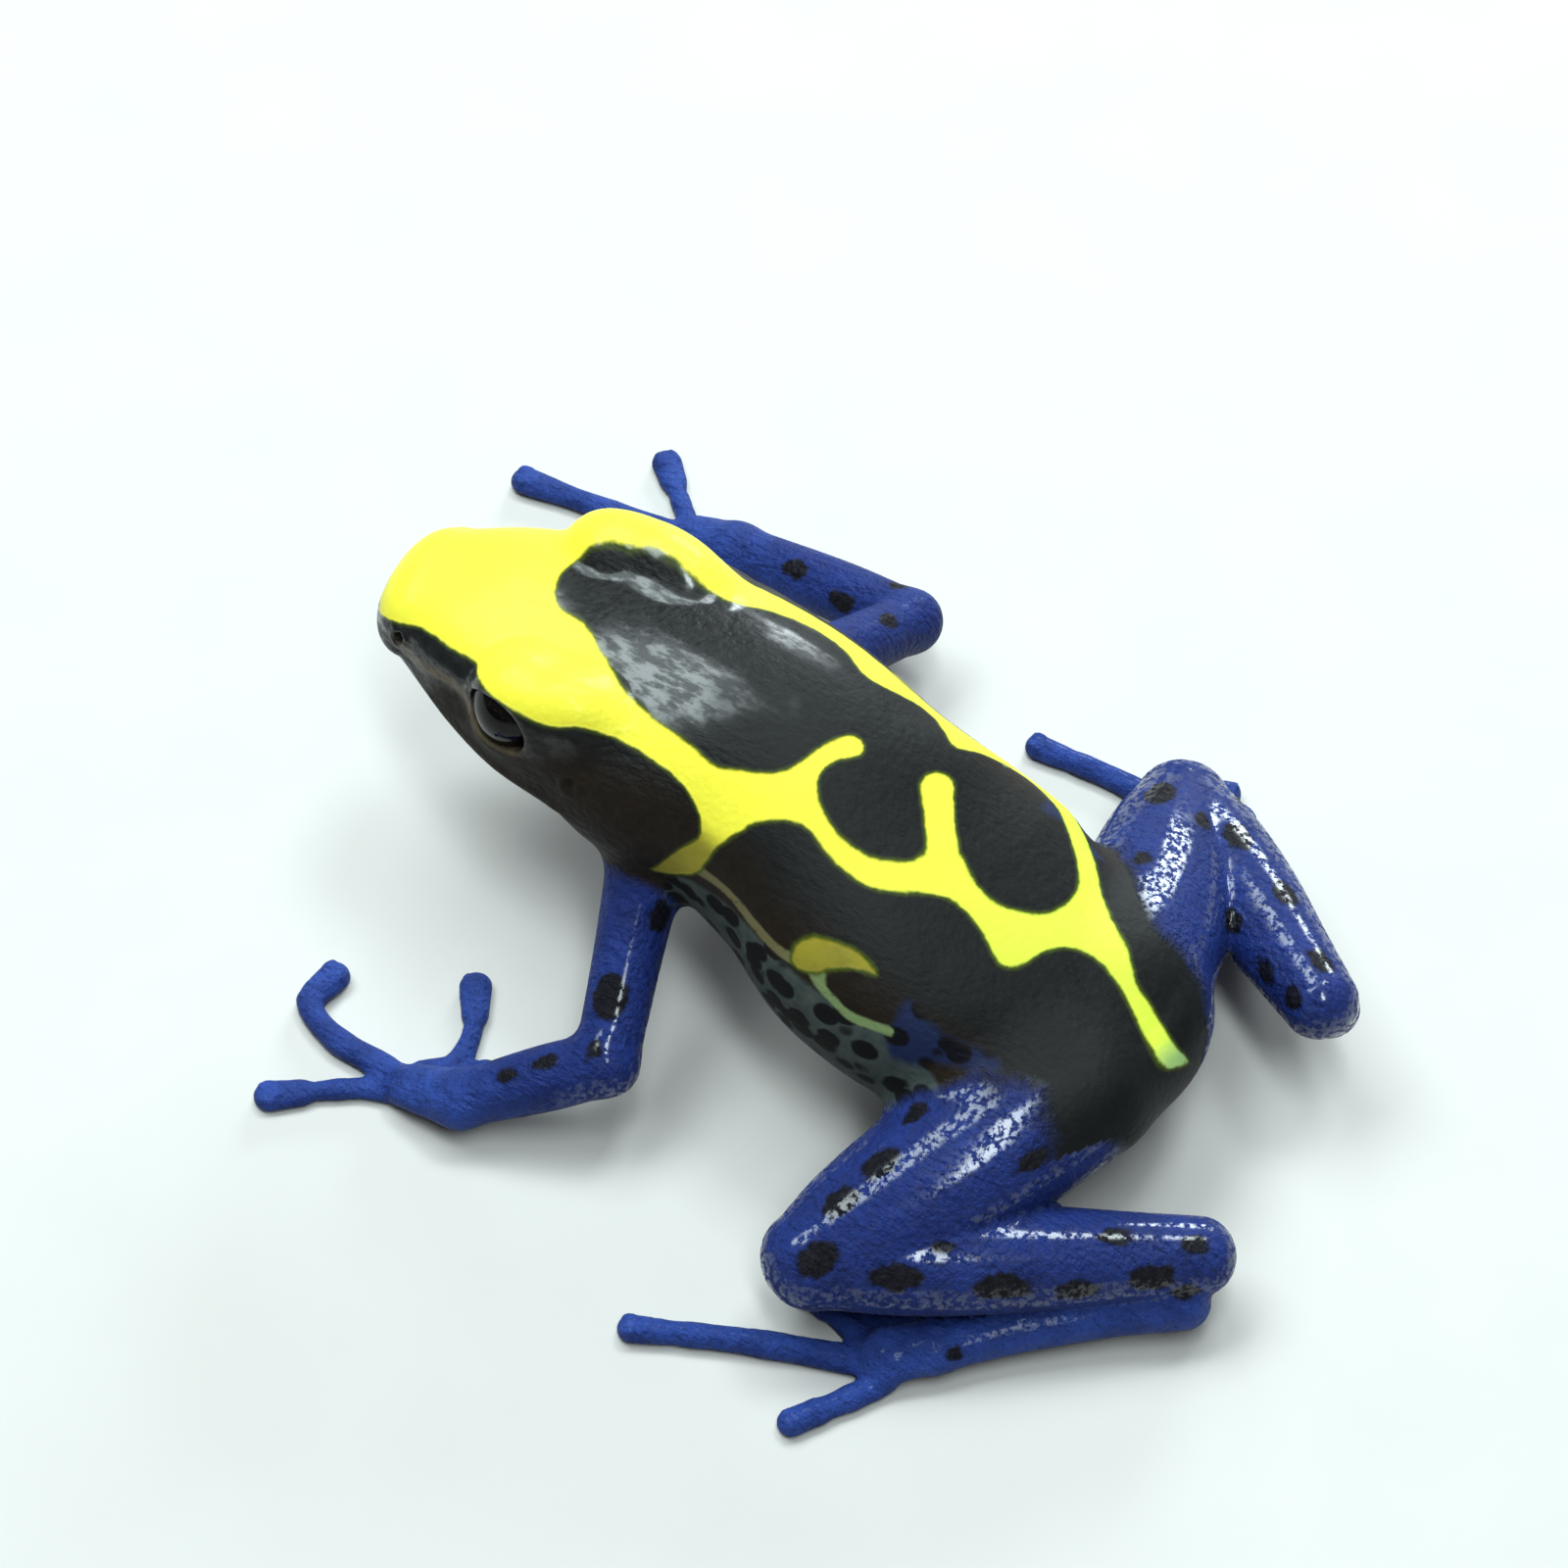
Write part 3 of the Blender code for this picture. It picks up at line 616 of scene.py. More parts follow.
def eyeball(side, sign):
    """A glossy ball with a slightly raised window, turned about the line that the eye looks along."""
    level = math.cos(GAZE_RISE)
    forward, sideways = math.sin(GAZE_AHEAD) * level, math.cos(GAZE_AHEAD) * level
    ahead = EYE[0] - forward, EYE[1] + sideways, EYE[2] + math.sin(GAZE_RISE)
    gaze = unit(head_point(ahead, sign) - head_point(EYE, sign))
    across = unit(np.cross(UP, gaze))
    over = np.cross(gaze, across)
    middle = head_point(EYE, sign)
    rings, sides = 40, 56
    bm = bmesh.new()
    loops = []
    for k in range(1, rings):
        turn = math.pi * k / rings
        radius = EYE_RADIUS + 0.1 * ridge(turn, 0.62) - 0.03
        loop = []
        for m in range(sides):
            spoke = 2 * math.pi * m / sides
            outward = across * math.cos(spoke) + over * math.sin(spoke)
            place = gaze * math.cos(turn) + outward * math.sin(turn)
            loop.append(bm.verts.new(middle + radius * place))
        loops.append(loop)
    for first, second in zip(loops, loops[1:]):
        for m in range(sides):
            n = (m + 1) % sides
            bm.faces.new((first[m], second[m], second[n], first[n]))
    front = bm.verts.new(middle + gaze * (EYE_RADIUS + 0.07))
    back = bm.verts.new(middle - gaze * (EYE_RADIUS - 0.03))
    for m in range(sides):
        n = (m + 1) % sides
        bm.faces.new((front, loops[0][m], loops[0][n]))
        bm.faces.new((back, loops[-1][n], loops[-1][m]))
    mesh = bpy.data.meshes.new(f"eyeball_{side}")
    bm.to_mesh(mesh)
    bm.free()
    towards = [float(unit(np.array(vertex.co) - middle) @ gaze) for vertex in mesh.vertices]
    turns = np.arccos(np.clip(towards, -1.0, 1.0))
    mesh.attributes.new("from_gaze", "FLOAT", "POINT").data.foreach_set("value", turns)
    return placed(f"eyeball_{side}", mesh)


# The markings, as places on the trunk: millimetres behind the snout and millimetres round from the
# middle of the back, plus on the left. The yellow runs between its two edges, round a black patch
# with two yellow tongues in it
LEFT_EDGE = (
    (-3.0, 4.4), (0.0, 3.4), (1.1, 2.9), (2.8, 2.7), (4.7, 3.2), (6.4, 3.4), (8.3, 3.8), (10.9, 4.2),
    (12.7, 4.0), (15.4, 4.3), (18.0, 4.9), (19.6, 5.4), (20.8, 5.9), (21.6, 5.2), (22.4, 3.8),
    (23.8, 2.8), (25.5, 2.8), (27.1, 2.5), (28.8, 1.4), (30.0, 1.0), (31.4, 1.3), (32.6, 1.9),
    (33.3, 1.6), (34.0, 0.5), (34.9, -0.15), (36.2, -0.15), (37.8, 0.5), (39.5, 1.4), (40.5, 1.95),
)
RIGHT_EDGE = (
    (40.9, 1.2), (40.1, 0.8), (38.9, 0.2), (37.7, -0.25), (36.8, -1.05), (35.7, -2.0), (34.7, -3.2),
    (33.8, -4.4), (32.2, -6.4), (30.6, -8.0), (28.5, -8.6), (26.0, -7.5), (24.0, -6.7), (22.0, -6.6),
    (20.0, -6.1), (18.0, -5.9), (15.5, -5.6), (13.2, -5.1), (11.5, -4.6), (9.3, -4.3), (6.4, -4.4),
    (4.7, -4.3), (2.8, -3.8), (1.1, -3.6), (0.0, -3.9), (-3.0, -4.6),
)
BACK_PATCH = (
    (7.6, -0.6), (7.5, -1.8), (8.8, -2.4), (10.6, -2.6), (13.4, -2.8), (16.7, -4.1), (18.6, -4.5),
    (20.5, -4.0), (22.7, -5.4), (24.1, -4.9), (25.0, -4.5), (26.0, -5.8), (28.5, -6.9), (30.4, -6.2),
    (32.0, -4.8), (33.6, -2.9), (33.7, -1.6), (33.0, -0.5), (31.4, 0.1), (30.2, 0.0), (29.2, -0.4),
    (28.2, 0.2), (27.4, 1.0), (26.4, 1.7), (25.2, 2.0), (24.0, 1.9), (22.9, 1.5), (22.0, 1.7),
    (20.8, 2.7), (19.0, 3.5), (16.2, 3.1), (13.7, 2.5), (11.7, 1.6), (9.8, 0.5), (8.3, 0.1),
)

# Strokes on the trunk: places as above and the half width of the stroke there
TONGUES = (
    ((22.5, 2.4, 0.7), (22.3, 0.9, 0.42), (22.4, 0.0, 0.42), (22.7, -0.75, 0.5)),
    ((29.2, 1.2, 0.8), (28.4, -0.2, 0.65), (27.6, -1.0, 0.62), (26.2, -2.2, 0.72)),
)
BRANCHES = (
    ((20.9, 4.8, 0.6), (20.9, 6.4, 0.45), (20.3, 7.8, 0.7), (18.6, 9.4, 0.55), (17.2, 10.3, 0.08)),
    (
        (26.6, 6.8, 0.25), (26.75, 6.3, 0.5), (27.0, 5.75, 0.5),
        (27.5, 5.25, 0.4), (28.1, 4.95, 0.28), (28.7, 4.9, 0.06),
    ),
)
THIN_LINES = (
    ((20.6, 7.9, 0.3), (22.2, 7.5, 0.2), (24.2, 7.35, 0.24), (25.9, 7.1, 0.22), (26.8, 6.6, 0.25)),
    (
        (27.2, 6.4, 0.25), (27.4, 6.9, 0.22), (27.9, 7.05, 0.2),
        (28.5, 7.2, 0.22), (29.2, 6.95, 0.2), (30.1, 6.6, 0.22),
    ),
)
LIP_STRIP = (
    (1.6, 3.5, 0.15), (2.5, 4.1, 0.26), (3.7, 4.5, 0.3), (5.0, 4.7, 0.3), (6.1, 5.0, 0.3),
    (7.0, 5.9, 0.24), (8.2, 6.3, 0.18), (9.4, 6.2, 0.14), (10.4, 5.9, 0.06),
)
BLUE_FLANK = (
    (30.2, 5.0), (31.2, 5.2), (32.4, 5.3), (34.2, 4.9),
    (33.7, 5.7), (32.3, 6.6), (31.2, 7.6), (30.2, 7.5),
)

# How far round the trunk the pale net of the belly begins, and how far along it reaches
BELLY_EDGE = Stations(
    ((17, 12), (20.5, 8.9), (24, 7.7), (27, 7.2), (30, 6.8), (33, 7.6), (36, 10.5), (39, 14))
)
BELLY_FRONT = 18.0
BELLY_BACK = 38.0

# How far round the trunk's dark skin reaches before the blue of the thighs begins
LEFT_HIP = (
    (30, 9), (31.5, 7.8), (32.7, 6.8), (33.8, 5.6), (35.2, 4.7), (36.5, 4.3), (38, 4.2), (39.5, 4.4), (41, 6),
)
RIGHT_HIP = (
    (32, 9), (34, 6.8), (35.5, 4.8), (36.3, 3.5), (37.1, 2.6), (38, 2.2), (39.6, 1.9), (42, 1.8),
)
HIP_EDGES = {"left": Stations(LEFT_HIP), "right": Stations(RIGHT_HIP)}
HIP_SPREAD = 1.5
HIP_FRONT = 33.5
HIP_BACK = 36.0

# A distance inside a marking that no place has come near to yet
OUTSIDE = -9.0

# Black spots on the blue limbs: share of the length, degrees round from the top, long and short half width
SPOTS = {
    "left": {
        "thigh": (
            (0.99, 27, 1.0, 0.75), (0.68, -13, 0.95, 0.6), (0.84, -7, 0.9, 0.6), (0.5, -32, 0.7, 0.45),
            (0.3, 47, 0.8, 0.4), (0.6, 95, 0.9, 0.55), (0.75, -80, 0.8, 0.5),
        ),
        "shank": (
            (0.21, -46, 1.15, 0.65), (0.48, -58, 1.25, 0.65), (0.67, -68, 0.95, 0.5), (0.86, -57, 1.1, 0.6),
            (0.95, -86, 0.7, 0.5), (0.77, -3, 0.8, 0.4), (0.97, -12, 0.7, 0.45), (0.33, -16, 0.5, 0.3),
            (0.35, 150, 0.9, 0.6), (0.7, 160, 0.9, 0.5),
        ),
        "tarsus": ((0.93, 45, 0.45, 0.3), (0.4, -60, 0.5, 0.35)),
        "upper_arm": (
            (0.75, -8, 1.05, 0.85), (0.38, 50, 0.75, 0.6), (0.97, -15, 0.5, 0.4), (0.6, 130, 0.6, 0.45),
        ),
        "forearm": ((0.33, 3, 0.6, 0.4), (0.6, 7, 0.5, 0.35), (0.6, 120, 0.6, 0.4), (0.7, -60, 0.5, 0.4)),
    },
    "right": {
        "thigh": ((0.81, 18, 0.95, 0.75), (0.39, 13, 0.5, 0.45), (0.7, -24, 0.6, 0.4), (0.6, -95, 0.9, 0.5)),
        "shank": (
            (0.36, 8, 0.9, 0.65), (0.64, 20, 0.85, 0.55), (0.63, -54, 0.75, 0.5), (0.94, 14, 0.8, 0.5),
            (0.85, -62, 0.7, 0.45), (1.0, -54, 0.6, 0.5), (0.5, 100, 0.9, 0.6), (0.15, 60, 0.8, 0.5),
        ),
        "tarsus": ((0.5, 40, 0.45, 0.3), (0.8, -50, 0.5, 0.3)),
        "upper_arm": ((0.74, -17, 0.6, 0.5), (0.4, 60, 0.6, 0.45), (0.5, -100, 0.7, 0.5)),
        "forearm": (
            (0.59, 26, 0.75, 0.5), (0.3, 53, 0.75, 0.5), (0.1, -30, 0.5, 0.4), (0.5, -100, 0.7, 0.45),
        ),
    },
}


def smooth_outline(places, steps=5):
    """The closed outline on a smooth curve through its places."""
    places = np.array(places, float)
    before, after, next_after = np.roll(places, 1, 0), np.roll(places, -1, 0), np.roll(places, -2, 0)
    t = (np.arange(steps) / steps)[None, :, None]
    a, b, c, d = (group[:, None] for group in (before, places, after, next_after))
    curve = b + 0.5 * t * (c - a + t * (2 * a - 5 * b + 4 * c - d + t * (3 * (b - c) + d - a)))
    return curve.reshape(-1, 2)


def inside_outline(at, outline):
    """How far inside a closed outline each place lies, in millimetres, below nought outside it."""
    nearest = np.full(len(at), np.inf)
    inside = np.zeros(len(at), bool)
    for a, b in zip(outline, np.roll(outline, -1, 0)):
        side = b - a
        t = np.clip((at - a) @ side / max(side @ side, 1e-9), 0, 1)
        away = at - a - t[:, None] * side
        nearest = np.minimum(nearest, np.einsum("ij,ij->i", away, away))
        crossing = (a[1] > at[:, 1]) != (b[1] > at[:, 1])
        if crossing.any():
            inside ^= crossing & (at[:, 0] < side[0] * (at[:, 1] - a[1]) / (side[1] or 1e-9) + a[0])
    return np.sqrt(nearest) * np.where(inside, 1, -1)


def inside_stroke(at, rows):
    """How far inside a stroke of changing width each place lies."""
    best = np.full(len(at), OUTSIDE)
    rows = np.array(rows, float)
    path = curve_through(rows, 4 * len(rows)) if len(rows) > 2 else rows
    for a, b in zip(path, path[1:]):
        side = b[:2] - a[:2]
        t = np.clip((at - a[:2]) @ side / max(side @ side, 1e-9), 0, 1)
        reach = a[2] + t * (b[2] - a[2])
        best = np.maximum(best, reach - np.linalg.norm(at - a[:2] - t[:, None] * side, axis=1))
    return best


def join(a, b, width):
    """The larger of two inside distances, flowing together over this width."""
    return -melt(-a, -b, width)


def round_the_trunk(points):
    """Millimetres behind the snout and round from the middle of the back."""
    share, sideways, over = trunk_place(points)
    _, _, width, top, bottom, *_ = TRUNK_SIZES.at(np.clip(share, TRUNK_SIZES.first, TRUNK_SIZES.last))
    turn = np.arctan2(sideways / width, over / np.where(over > 0, top, bottom))
    upper = np.minimum(np.abs(turn), math.pi / 2) * (width + top) / 2
    lower = np.maximum(np.abs(turn) - math.pi / 2, 0) * (width + bottom) / 2
    return np.column_stack([share * BODY_LENGTH, np.sign(turn) * (upper + lower)])


def both_sides(*groups):
    """Strokes or outlines together with their mirror images across the back."""
    return [*groups, *([(row[0], -row[1], *row[2:]) for row in rows] for rows in groups)]


def trunk_markings(at):
    """How far inside each marking of the trunk the places round it lie, in millimetres."""
    behind, around = at[:, 0], np.abs(at[:, 1])
    yellow = inside_outline(at, smooth_outline(LEFT_EDGE + RIGHT_EDGE))
    branch = np.max([inside_stroke(at, rows) for rows in both_sides(*BRANCHES)], axis=0)
    patch = inside_outline(at, smooth_outline(BACK_PATCH))
    for rows in TONGUES:
        patch = melt(patch, -inside_stroke(at, rows), 0.5)
    lines = np.full(len(at), OUTSIDE)
    for rows in both_sides(*THIN_LINES):
        lines = join(lines, inside_stroke(at, rows), 0.3)
    flanks = [inside_outline(at, smooth_outline(rows)) for rows in both_sides(BLUE_FLANK)]
    belly = np.minimum(behind - BELLY_FRONT, BELLY_BACK - behind)
    return {
        "yellow": np.minimum(join(yellow, branch, 0.7), -patch),
        "branch": np.minimum(branch, -yellow),
        "pale_line": lines,
        "blue_flank": np.max(flanks, axis=0),
        "belly": np.minimum(around - BELLY_EDGE.at(behind)[0], belly),
        "lip": np.max([inside_stroke(at, rows) for rows in both_sides(LIP_STRIP)], axis=0),
        "behind": behind,
        "around": around,
    }


def limb_markings(points, at):
    """How far the points lie inside the blue of the limbs and inside its spots, in millimetres."""
    trunk = trunk_depth(*trunk_place(points))
    limb = np.full(len(points), OUTSIDE)
    spot = np.full(len(points), OUTSIDE)
    for side, (lengths, _) in LIMBS.items():
        for name, part in lengths.items():
            near = part.near(points)
            shown = trunk[near] - part.depth(points[near])
            if name == "thigh":
                behind, around = at[near].T
                outward = around if side == "left" else -around
                shown = shown + HIP_SPREAD * rise(behind, HIP_FRONT, HIP_BACK)
                shown = np.minimum(shown, outward - HIP_EDGES[side].at(behind)[0])
            limb[near] = np.maximum(limb[near], shown)
            for row in SPOTS[side].get(name, ()):
                spot[near] = np.maximum(spot[near], spot_on(part, points[near], *row))
    return {"limb": limb, "spot": spot}


def spot_on(part, points, along, degrees, long, short):
    """How far inside an oval spot on a limb each point lies."""
    forward = unit(part.path[-1] - part.path[0])
    across = unit(np.cross(UP, forward))
    over = np.cross(forward, across)
    width, height = (float(size) for size in part.girth.at(along))
    turn = math.radians(degrees)
    line = part.path[0] + along * (part.path[-1] - part.path[0])
    middle = line + across * width * math.sin(turn) + over * height * math.cos(turn)
    away = points - middle
    lengthways = away @ forward
    sideways = np.linalg.norm(away - lengthways[:, None] * forward, axis=1)
    return (1 - np.hypot(lengthways / long, sideways / short)) * short


class Wire:
    """A shader socket that takes part in plain arithmetic."""

    def __init__(self, paint, socket):
        self.paint, self.socket = paint, socket

    def maths(self, operation, *values):
        return self.paint.node("ShaderNodeMath", {"operation": operation}, dict(enumerate(values)))

    def __add__(self, other):
        return self.maths("ADD", self, other)

    def __sub__(self, other):
        return self.maths("SUBTRACT", self, other)

    def __rsub__(self, other):
        return self.maths("SUBTRACT", other, self)

    def __mul__(self, other):
        return self.maths("MULTIPLY", self, other)

    def smaller(self, other):
        return self.maths("MINIMUM", self, other)

    __radd__ = __add__
    __rmul__ = __mul__


class Paint:
    """A material whose colours and relief are worked out by nodes."""

    def __init__(self, name, **constants):
        self.material = bpy.data.materials.new(name)
        self.material.use_nodes = True
        self.tree = self.material.node_tree
        self.shader = self.tree.nodes["Principled BSDF"]
        self.finish(**constants)

    def node(self, kind, settings, inputs, output=0):
        node = self.tree.nodes.new(kind)
        for key, value in settings.items():
            setattr(node, key, value)
        for key, value in inputs.items():
            self.feed(node.inputs[key], value)
        return Wire(self, node.outputs[output])

    def feed(self, socket, value):
        if isinstance(value, Wire):
            self.tree.links.new(value.socket, socket)
        else:
            socket.default_value = value

    def finish(self, **values):
        """Gives the material's own sockets their values or links."""
        for name, value in values.items():
            self.feed(self.shader.inputs[name.replace("_", " ")], value)

    def attribute(self, name):
        """A value that the skin or the eye carries at its points."""
        return self.node("ShaderNodeAttribute", {"attribute_name": name}, {}, "Fac")

    def upward(self, vector):
        """The upward part of a place or a direction."""
        return self.node("ShaderNodeSeparateXYZ", {}, {"Vector": vector}, "Z")

    def place(self, stretch=(1, 1, 1)):
        """Millimetres on the body, stretched along its axes."""
        spot = self.node("ShaderNodeTexCoord", {}, {}, "Object")
        scale = [value / MM for value in stretch]
        return self.node("ShaderNodeVectorMath", {"operation": "MULTIPLY"}, {0: spot, 1: scale})

    def noise(self, place, size, detail=2.0, roughness=0.5):
        """Soft patches of about this size in millimetres, from nought to one."""
        inputs = {"Vector": place, "Scale": 1 / size, "Detail": detail, "Roughness": roughness}
        return self.node("ShaderNodeTexNoise", {}, inputs, "Fac")

    def cells(self, place, size, feature):
        """Distance from the middles of rounded cells of about this size in millimetres."""
        inputs = {"Vector": place, "Scale": 1 / size}
        return self.node("ShaderNodeTexVoronoi", {"feature": feature}, inputs, "Distance")

    def rise(self, value, low, high):
        """Nought below the low value, one above the high one and smooth between them."""
        settings = {"interpolation_type": "SMOOTHSTEP"}
        return self.node("ShaderNodeMapRange", settings, {"Value": value, "From Min": low, "From Max": high})

    def mix(self, mask, under, over):
        """The colour over the other where the mask is one."""
        inputs = {0: mask, 6: as_colour(under), 7: as_colour(over)}
        return self.node("ShaderNodeMix", {"data_type": "RGBA"}, inputs, 2)

    def relief(self, height):
        """Lights the surface as if it had this relief, in millimetres."""
        return self.node("ShaderNodeBump", {}, {"Height": height, "Distance": MM, "Strength": 1.0})


def as_colour(value):
    return value if isinstance(value, Wire) else (*value, 1.0)


def skin_grain(paint):
    """The places, patches, grain and streaks that all finishes of the skin share."""
    place = paint.place()
    return SimpleNamespace(
        place=place,
        soft=paint.noise(place, 1.4, 3.0),
        grain=paint.noise(place, 0.28, 3.0, 0.6),
        pebbles=paint.cells(place, 0.3, "SMOOTH_F1"),
        streaks=paint.noise(paint.place((1.0, 0.35, 1.0)), 0.42, 4.0, 0.65),
        ridges=paint.noise(paint.place((1.0, 0.3, 0.3)), 0.3, 2.0),
        wobble=(paint.noise(place, 0.5, 2.0) - 0.5) * 0.16,
        behind=paint.attribute("behind"),
        around=paint.attribute("around"),
    )


def yellow_finish(paint, skin):
    """Lemon on the head, greener towards the rump, and olive on the branches down the flanks, partly their
    own duller colour and partly painted shade.
    """
    greener = paint.rise(skin.behind + skin.soft * 3, 22, 38)
    colour = paint.mix(greener, (0.84, 0.77, 0.058), (0.60, 0.77, 0.070))
    tip = paint.rise(skin.behind + skin.soft, 40.0, 41.2)
    colour = paint.mix(tip, colour, (0.27, 0.54, 0.21))
    # Partly painted shade: the branches turn a dark olive the further down the flank they run.
    olive_shade_reach = skin.around + paint.rise(skin.behind, 24, 25) * 2 + skin.soft * 0.4
    on_branch = paint.rise(paint.attribute("branch"), -0.5, 0.0)
    colour = paint.mix(paint.rise(olive_shade_reach, 5.4, 6.9) * on_branch, colour, (0.17, 0.15, 0.025))
    return paint.mix(skin.soft * 0.25, colour, (0.85, 0.68, 0.02))


def dark_finish(paint, skin, lower, belly):
    """Black back, brown sides, netted belly, navy flank, and the pale lines of flank and lip."""
    ink = paint.mix(skin.streaks, (0.004, 0.005, 0.005), (0.011, 0.012, 0.013))
    clouds = paint.noise(skin.place, 0.9, 5.0, 0.7)
    earth = paint.mix(clouds, (0.004, 0.003, 0.002), (0.022, 0.015, 0.010))
    ovals = paint.cells(paint.place((1.0, 0.72, 1.0)), 0.95, "F1")
    net = paint.rise(ovals + skin.wobble, 0.42, 0.55)
    pale = paint.mix(paint.noise(skin.place, 0.7), (0.018, 0.028, 0.035), (0.075, 0.09, 0.075))
    netted = paint.mix(net, (0.004, 0.004, 0.005), pale)
    colour = paint.mix(belly, paint.mix(lower, ink, earth), netted)
    navy = paint.mix(net, (0.003, 0.003, 0.006), (0.010, 0.017, 0.055))
    flank = paint.rise(paint.attribute("blue_flank") + skin.wobble * 2, -0.2, 0.3)
    colour = paint.mix(flank, colour, navy)
    lip = paint.rise(paint.attribute("lip") + skin.wobble, -0.1, 0.2)
    colour = paint.mix(lip * 0.8, colour, (0.10, 0.075, 0.045))
    line = paint.rise(paint.attribute("pale_line") + skin.wobble * 0.6, -0.08, 0.08)
    straw = paint.mix(paint.rise(skin.behind, 25.5, 28.0), (0.13, 0.11, 0.05), (0.16, 0.22, 0.09))
    return paint.mix(line, colour, straw)


def blue_finish(paint, skin, raised):
    """Dusted blue, lighter on the hands and feet, with painted shade that makes it greyer and darker
    underneath, and black spots.
    """
    deep = paint.mix(skin.grain, (0.003, 0.006, 0.032), (0.010, 0.021, 0.12))
    clear = paint.mix(raised, (0.034, 0.082, 0.37), (0.015, 0.037, 0.205))
    dust = paint.rise(paint.noise(skin.place, 0.12, 2.0, 0.7), 0.56, 0.7)
    colour = paint.mix(skin.soft, deep, clear)
    colour = paint.mix(dust * 0.6, colour, (0.006, 0.007, 0.025))
    # Painted shade: the blue is mixed towards a darker grey where the skin faces down.
    facing = paint.node("ShaderNodeNewGeometry", {}, {}, "Normal")
    painted_underside_shade = paint.rise(paint.upward(facing), 0.05, -0.6)
    colour = paint.mix(painted_underside_shade * 0.6, colour, (0.045, 0.042, 0.055))
    spot = paint.rise(paint.attribute("spot") + skin.wobble * 3.2, -0.12, 0.12)
    return paint.mix(spot, colour, (0.004, 0.004, 0.008))


def skin_paint():
    """Yellow, black and blue skin, wettest on the neck and along the legs."""
    sheen = (1.0, 0.97, 0.92, 1.0)
    paint = Paint("frog_skin", IOR=1.22, Specular_Tint=sheen, Coat_Roughness=0.13, Coat_IOR=1.5)
    skin = skin_grain(paint)
    yellow_edge = paint.attribute("yellow") + skin.wobble
    yellow = paint.rise(yellow_edge, -0.05, 0.1)
    fringe = paint.rise(yellow_edge, -0.2, 0.0)
    lower = paint.rise(skin.around + skin.soft * 1.5, 4.6, 7.2)
    belly = paint.rise(paint.attribute("belly") + skin.wobble, -0.1, 0.3)
    raised = paint.rise(paint.upward(skin.place), 2.2, 4.0)
    limb_edge = paint.attribute("limb") + (skin.soft - 0.5) * 0.8 + (skin.grain - 0.5) * 0.5
    onto_limb = paint.rise(limb_edge, -0.3, 0.9)

    trunk = paint.mix(fringe, dark_finish(paint, skin, lower, belly), (0.05, 0.07, 0.006))
    trunk = paint.mix(yellow, trunk, yellow_finish(paint, skin))
    paint.finish(Base_Color=paint.mix(onto_limb, trunk, blue_finish(paint, skin, raised)))

    front = (1 - paint.rise(skin.behind + skin.soft * 3, 16, 22)) * (1 - lower)
    rear = paint.rise(skin.behind, 16, 24)
    paint.finish(Roughness=0.34 + skin.streaks * 0.14 + belly * 0.2 + (1 - front) * 0.1)
    flecks = paint.rise(paint.noise(skin.place, 0.3, 3.0, 0.65), 0.44, 0.58)
    wet_leg = onto_limb * rear * (raised * 0.85 + 0.15) * flecks
    wet_neck = front * (1 - yellow * 0.92) * (paint.rise(skin.streaks, 0.42, 0.6) * 0.7 + 0.3)
    paint.finish(Coat_Weight=(wet_neck * (1 - onto_limb) + wet_leg).smaller(1))

    calm = 1 - (1 - paint.rise(skin.behind, 8, 15)) * yellow * 0.65
    smooth = 1 - rear * (1 - onto_limb) * 0.55
    creases = skin.streaks * 0.11 * (1 - yellow * 0.85)
    fine = skin.pebbles * 0.035 + skin.grain * 0.03 + creases + skin.soft * 0.05
    coarse = (skin.ridges * 0.2 + skin.grain * 0.14) * onto_limb
    paint.finish(Normal=paint.relief(fine * calm * smooth + coarse))
    return paint.material


def eye_paint():
    """A nearly black eye with a dark brown iris."""
    gloss = {"Specular_IOR_Level": 0.2, "Coat_Weight": 0.15, "Coat_Roughness": 0.03}
    paint = Paint("frog_eye", Roughness=0.05, IOR=1.38, **gloss)
    ring = paint.attribute("from_gaze")
    fleck = paint.noise(paint.place(), 0.16, 3.0, 0.7)
    iris = paint.mix(paint.rise(fleck, 0.5, 0.8), (0.004, 0.003, 0.003), (0.03, 0.018, 0.01))
    pupil = paint.rise(ring + (fleck - 0.5) * 0.04, 0.36, 0.42)
    paint.finish(Base_Color=paint.mix(pupil, (0.001, 0.001, 0.0012), iris))
    return paint.material


def floor():
    """A wide pale sheet under the frog."""
    bm = bmesh.new()
    bmesh.ops.create_grid(bm, x_segments=8, y_segments=8, size=1.5)
    mesh = bpy.data.meshes.new("floor")
    bm.to_mesh(mesh)
    bm.free()
    sheet = bpy.data.objects.new("floor", mesh)
    bpy.context.scene.collection.objects.link(sheet)
    paint = Paint("pale_floor", Roughness=0.75)
    tone = paint.noise(paint.place(), 9.0, 4.0)
    paint.finish(Base_Color=paint.mix(tone, (0.55, 0.53, 0.50), (0.60, 0.58, 0.55)))
    mesh.materials.append(paint.material)


def softbox(name, direction, distance, size, power, colour):
    """A flat soft light that shines on the frog from this direction."""
    data = bpy.data.lights.new(name, "AREA")
    data.shape = "RECTANGLE"
    data.size, data.size_y = size
    data.energy = power
    data.color = colour
    lamp = bpy.data.objects.new(name, data)
    away = Vector(direction).normalized()
    lamp.location = away * distance
    lamp.rotation_euler = away.to_track_quat("Z", "Y").to_euler()
    bpy.context.scene.collection.objects.link(lamp)


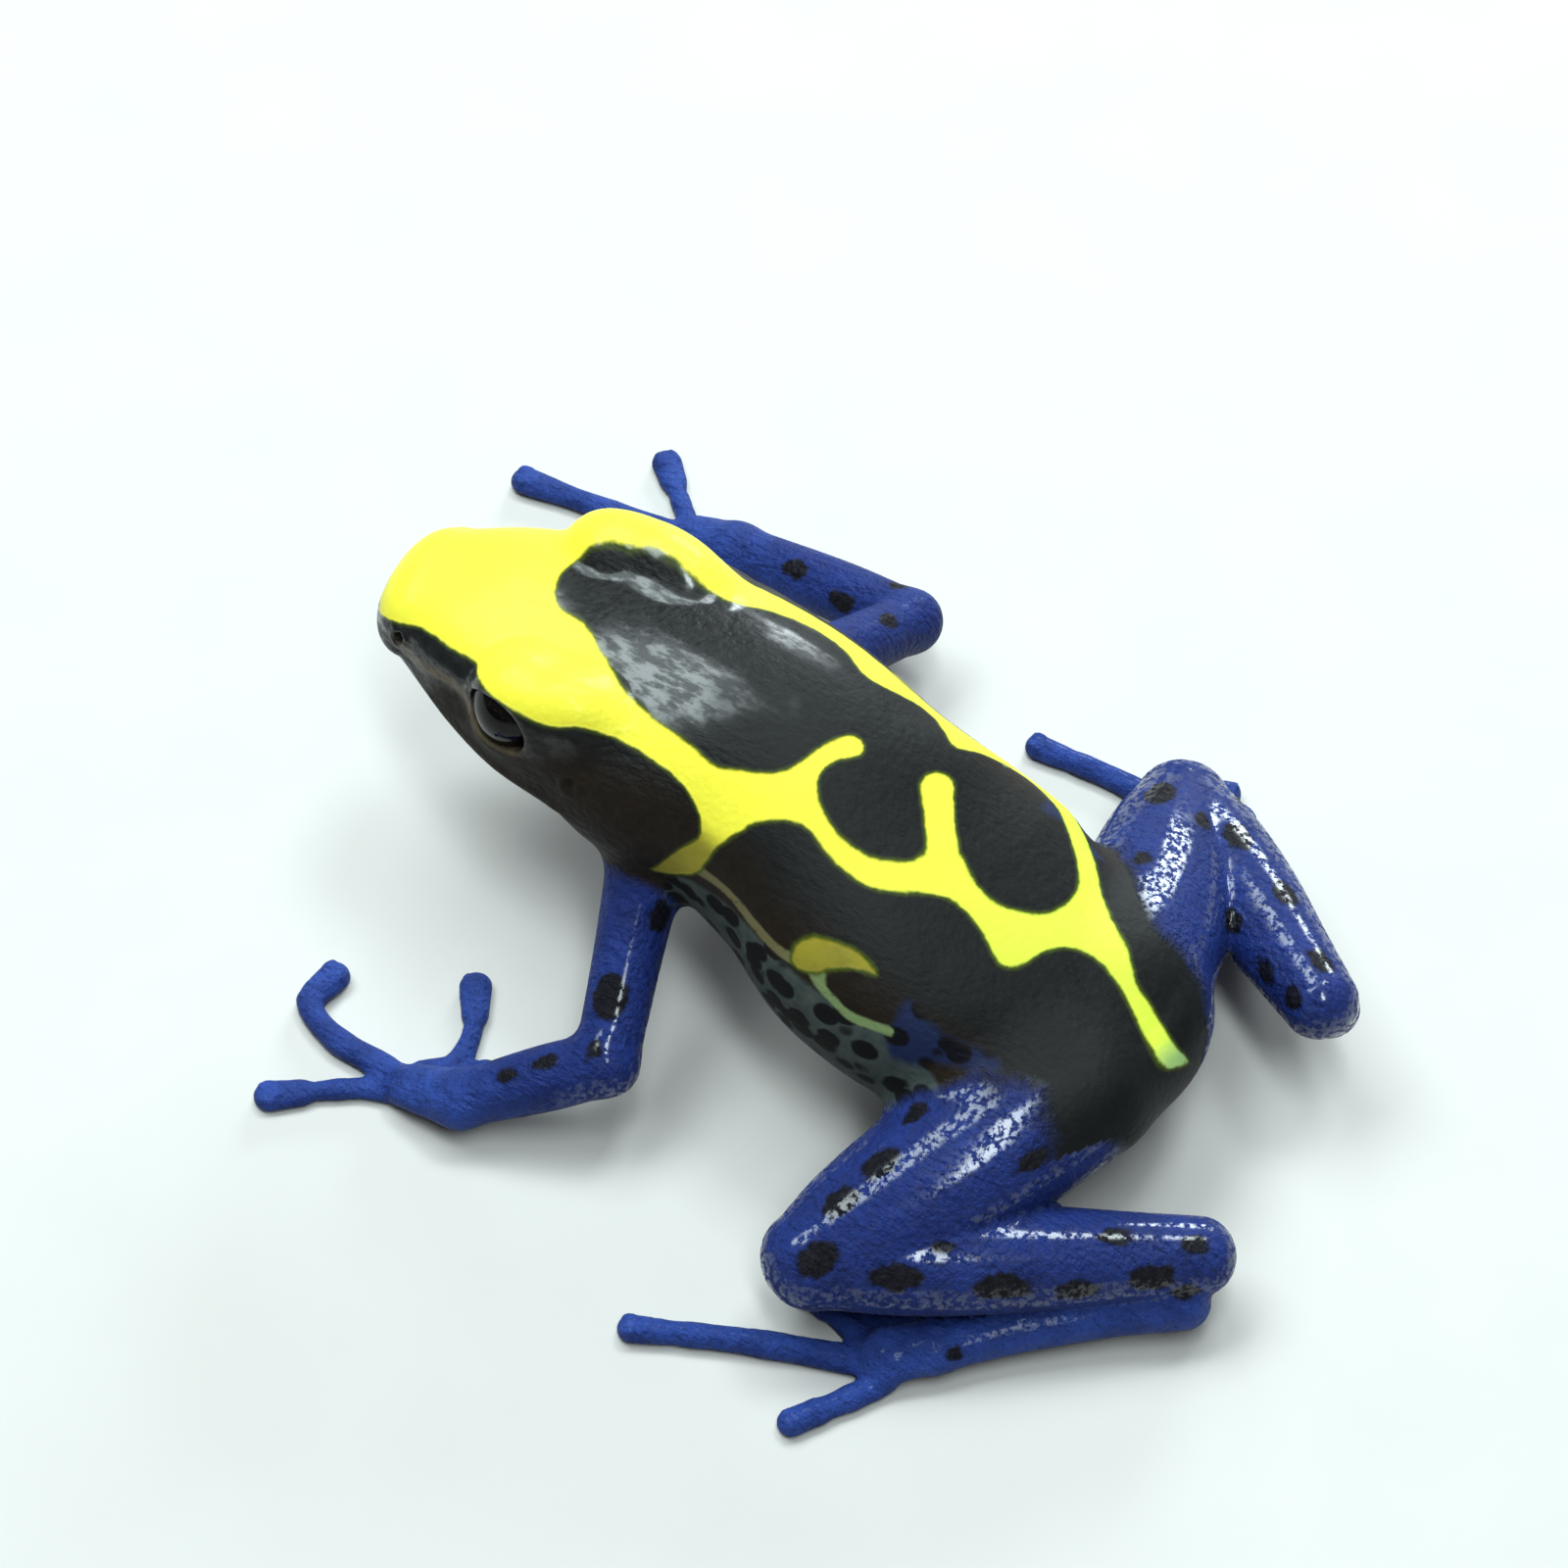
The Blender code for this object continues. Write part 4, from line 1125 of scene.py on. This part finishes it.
def light():
    """A pale room with four soft lights above and beside the frog."""
    world = bpy.data.worlds.new("soft_room")
    world.use_nodes = True
    background = world.node_tree.nodes["Background"]
    background.inputs["Color"].default_value = (0.92, 0.95, 1.0, 1.0)
    background.inputs["Strength"].default_value = 0.12
    scene = bpy.context.scene
    scene.world = world
    scene.view_settings.view_transform = "Standard"
    softbox("ceiling", (-0.15, -0.44, 0.88), 0.6, (0.46, 0.22), 3.1, (0.84, 0.98, 1.0))
    softbox("window", (-0.92, -0.15, 0.36), 0.7, (0.24, 0.18), 3.0, (0.84, 0.96, 1.0))
    softbox("strip", (0.16, 0.2, 0.95), 0.6, (0.08, 0.36), 2.0, (0.84, 0.96, 1.0))
    softbox("lamp", (-0.48, 0.0, 0.88), 0.6, (0.16, 0.13), 1.3, (0.84, 0.96, 1.0))


def camera():
    """The camera, above the frog's left side and a little behind it."""
    level = math.cos(CAMERA_RISE)
    sideways, forward = math.sin(CAMERA_TURN) * level, math.cos(CAMERA_TURN) * level
    back = Vector((sideways, -forward, math.sin(CAMERA_RISE)))
    target = (Vector(CAMERA_TARGET) + Vector(SHIFT)) * MM
    data = bpy.data.cameras.new("camera")
    data.lens = CAMERA_LENS
    data.sensor_width = 36.0
    data.clip_start = 0.01
    view = bpy.data.objects.new("camera", data)
    view.location = target + back * CAMERA_DISTANCE * MM
    view.rotation_euler = back.to_track_quat("Z", "Y").to_euler()
    bpy.context.scene.collection.objects.link(view)
    bpy.context.scene.camera = view


def main():
    mesh, points = skin_mesh()
    at = round_the_trunk(points)
    for name, values in {**trunk_markings(at), **limb_markings(points, at)}.items():
        mesh.attributes.new(name, "FLOAT", "POINT").data.foreach_set("value", values)
    mesh.materials.append(skin_paint())
    skin = placed("skin", mesh)
    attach(skin, "root")
    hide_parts(*[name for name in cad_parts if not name.startswith("eye_")])
    eyes = eye_paint()
    for side, sign in (("left", 1), ("right", -1)):
        ball = eyeball(side, sign)
        ball.data.materials.append(eyes)
        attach(ball, "root")
        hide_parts(f"eye_{side}")
    floor()
    light()
    camera()


main()
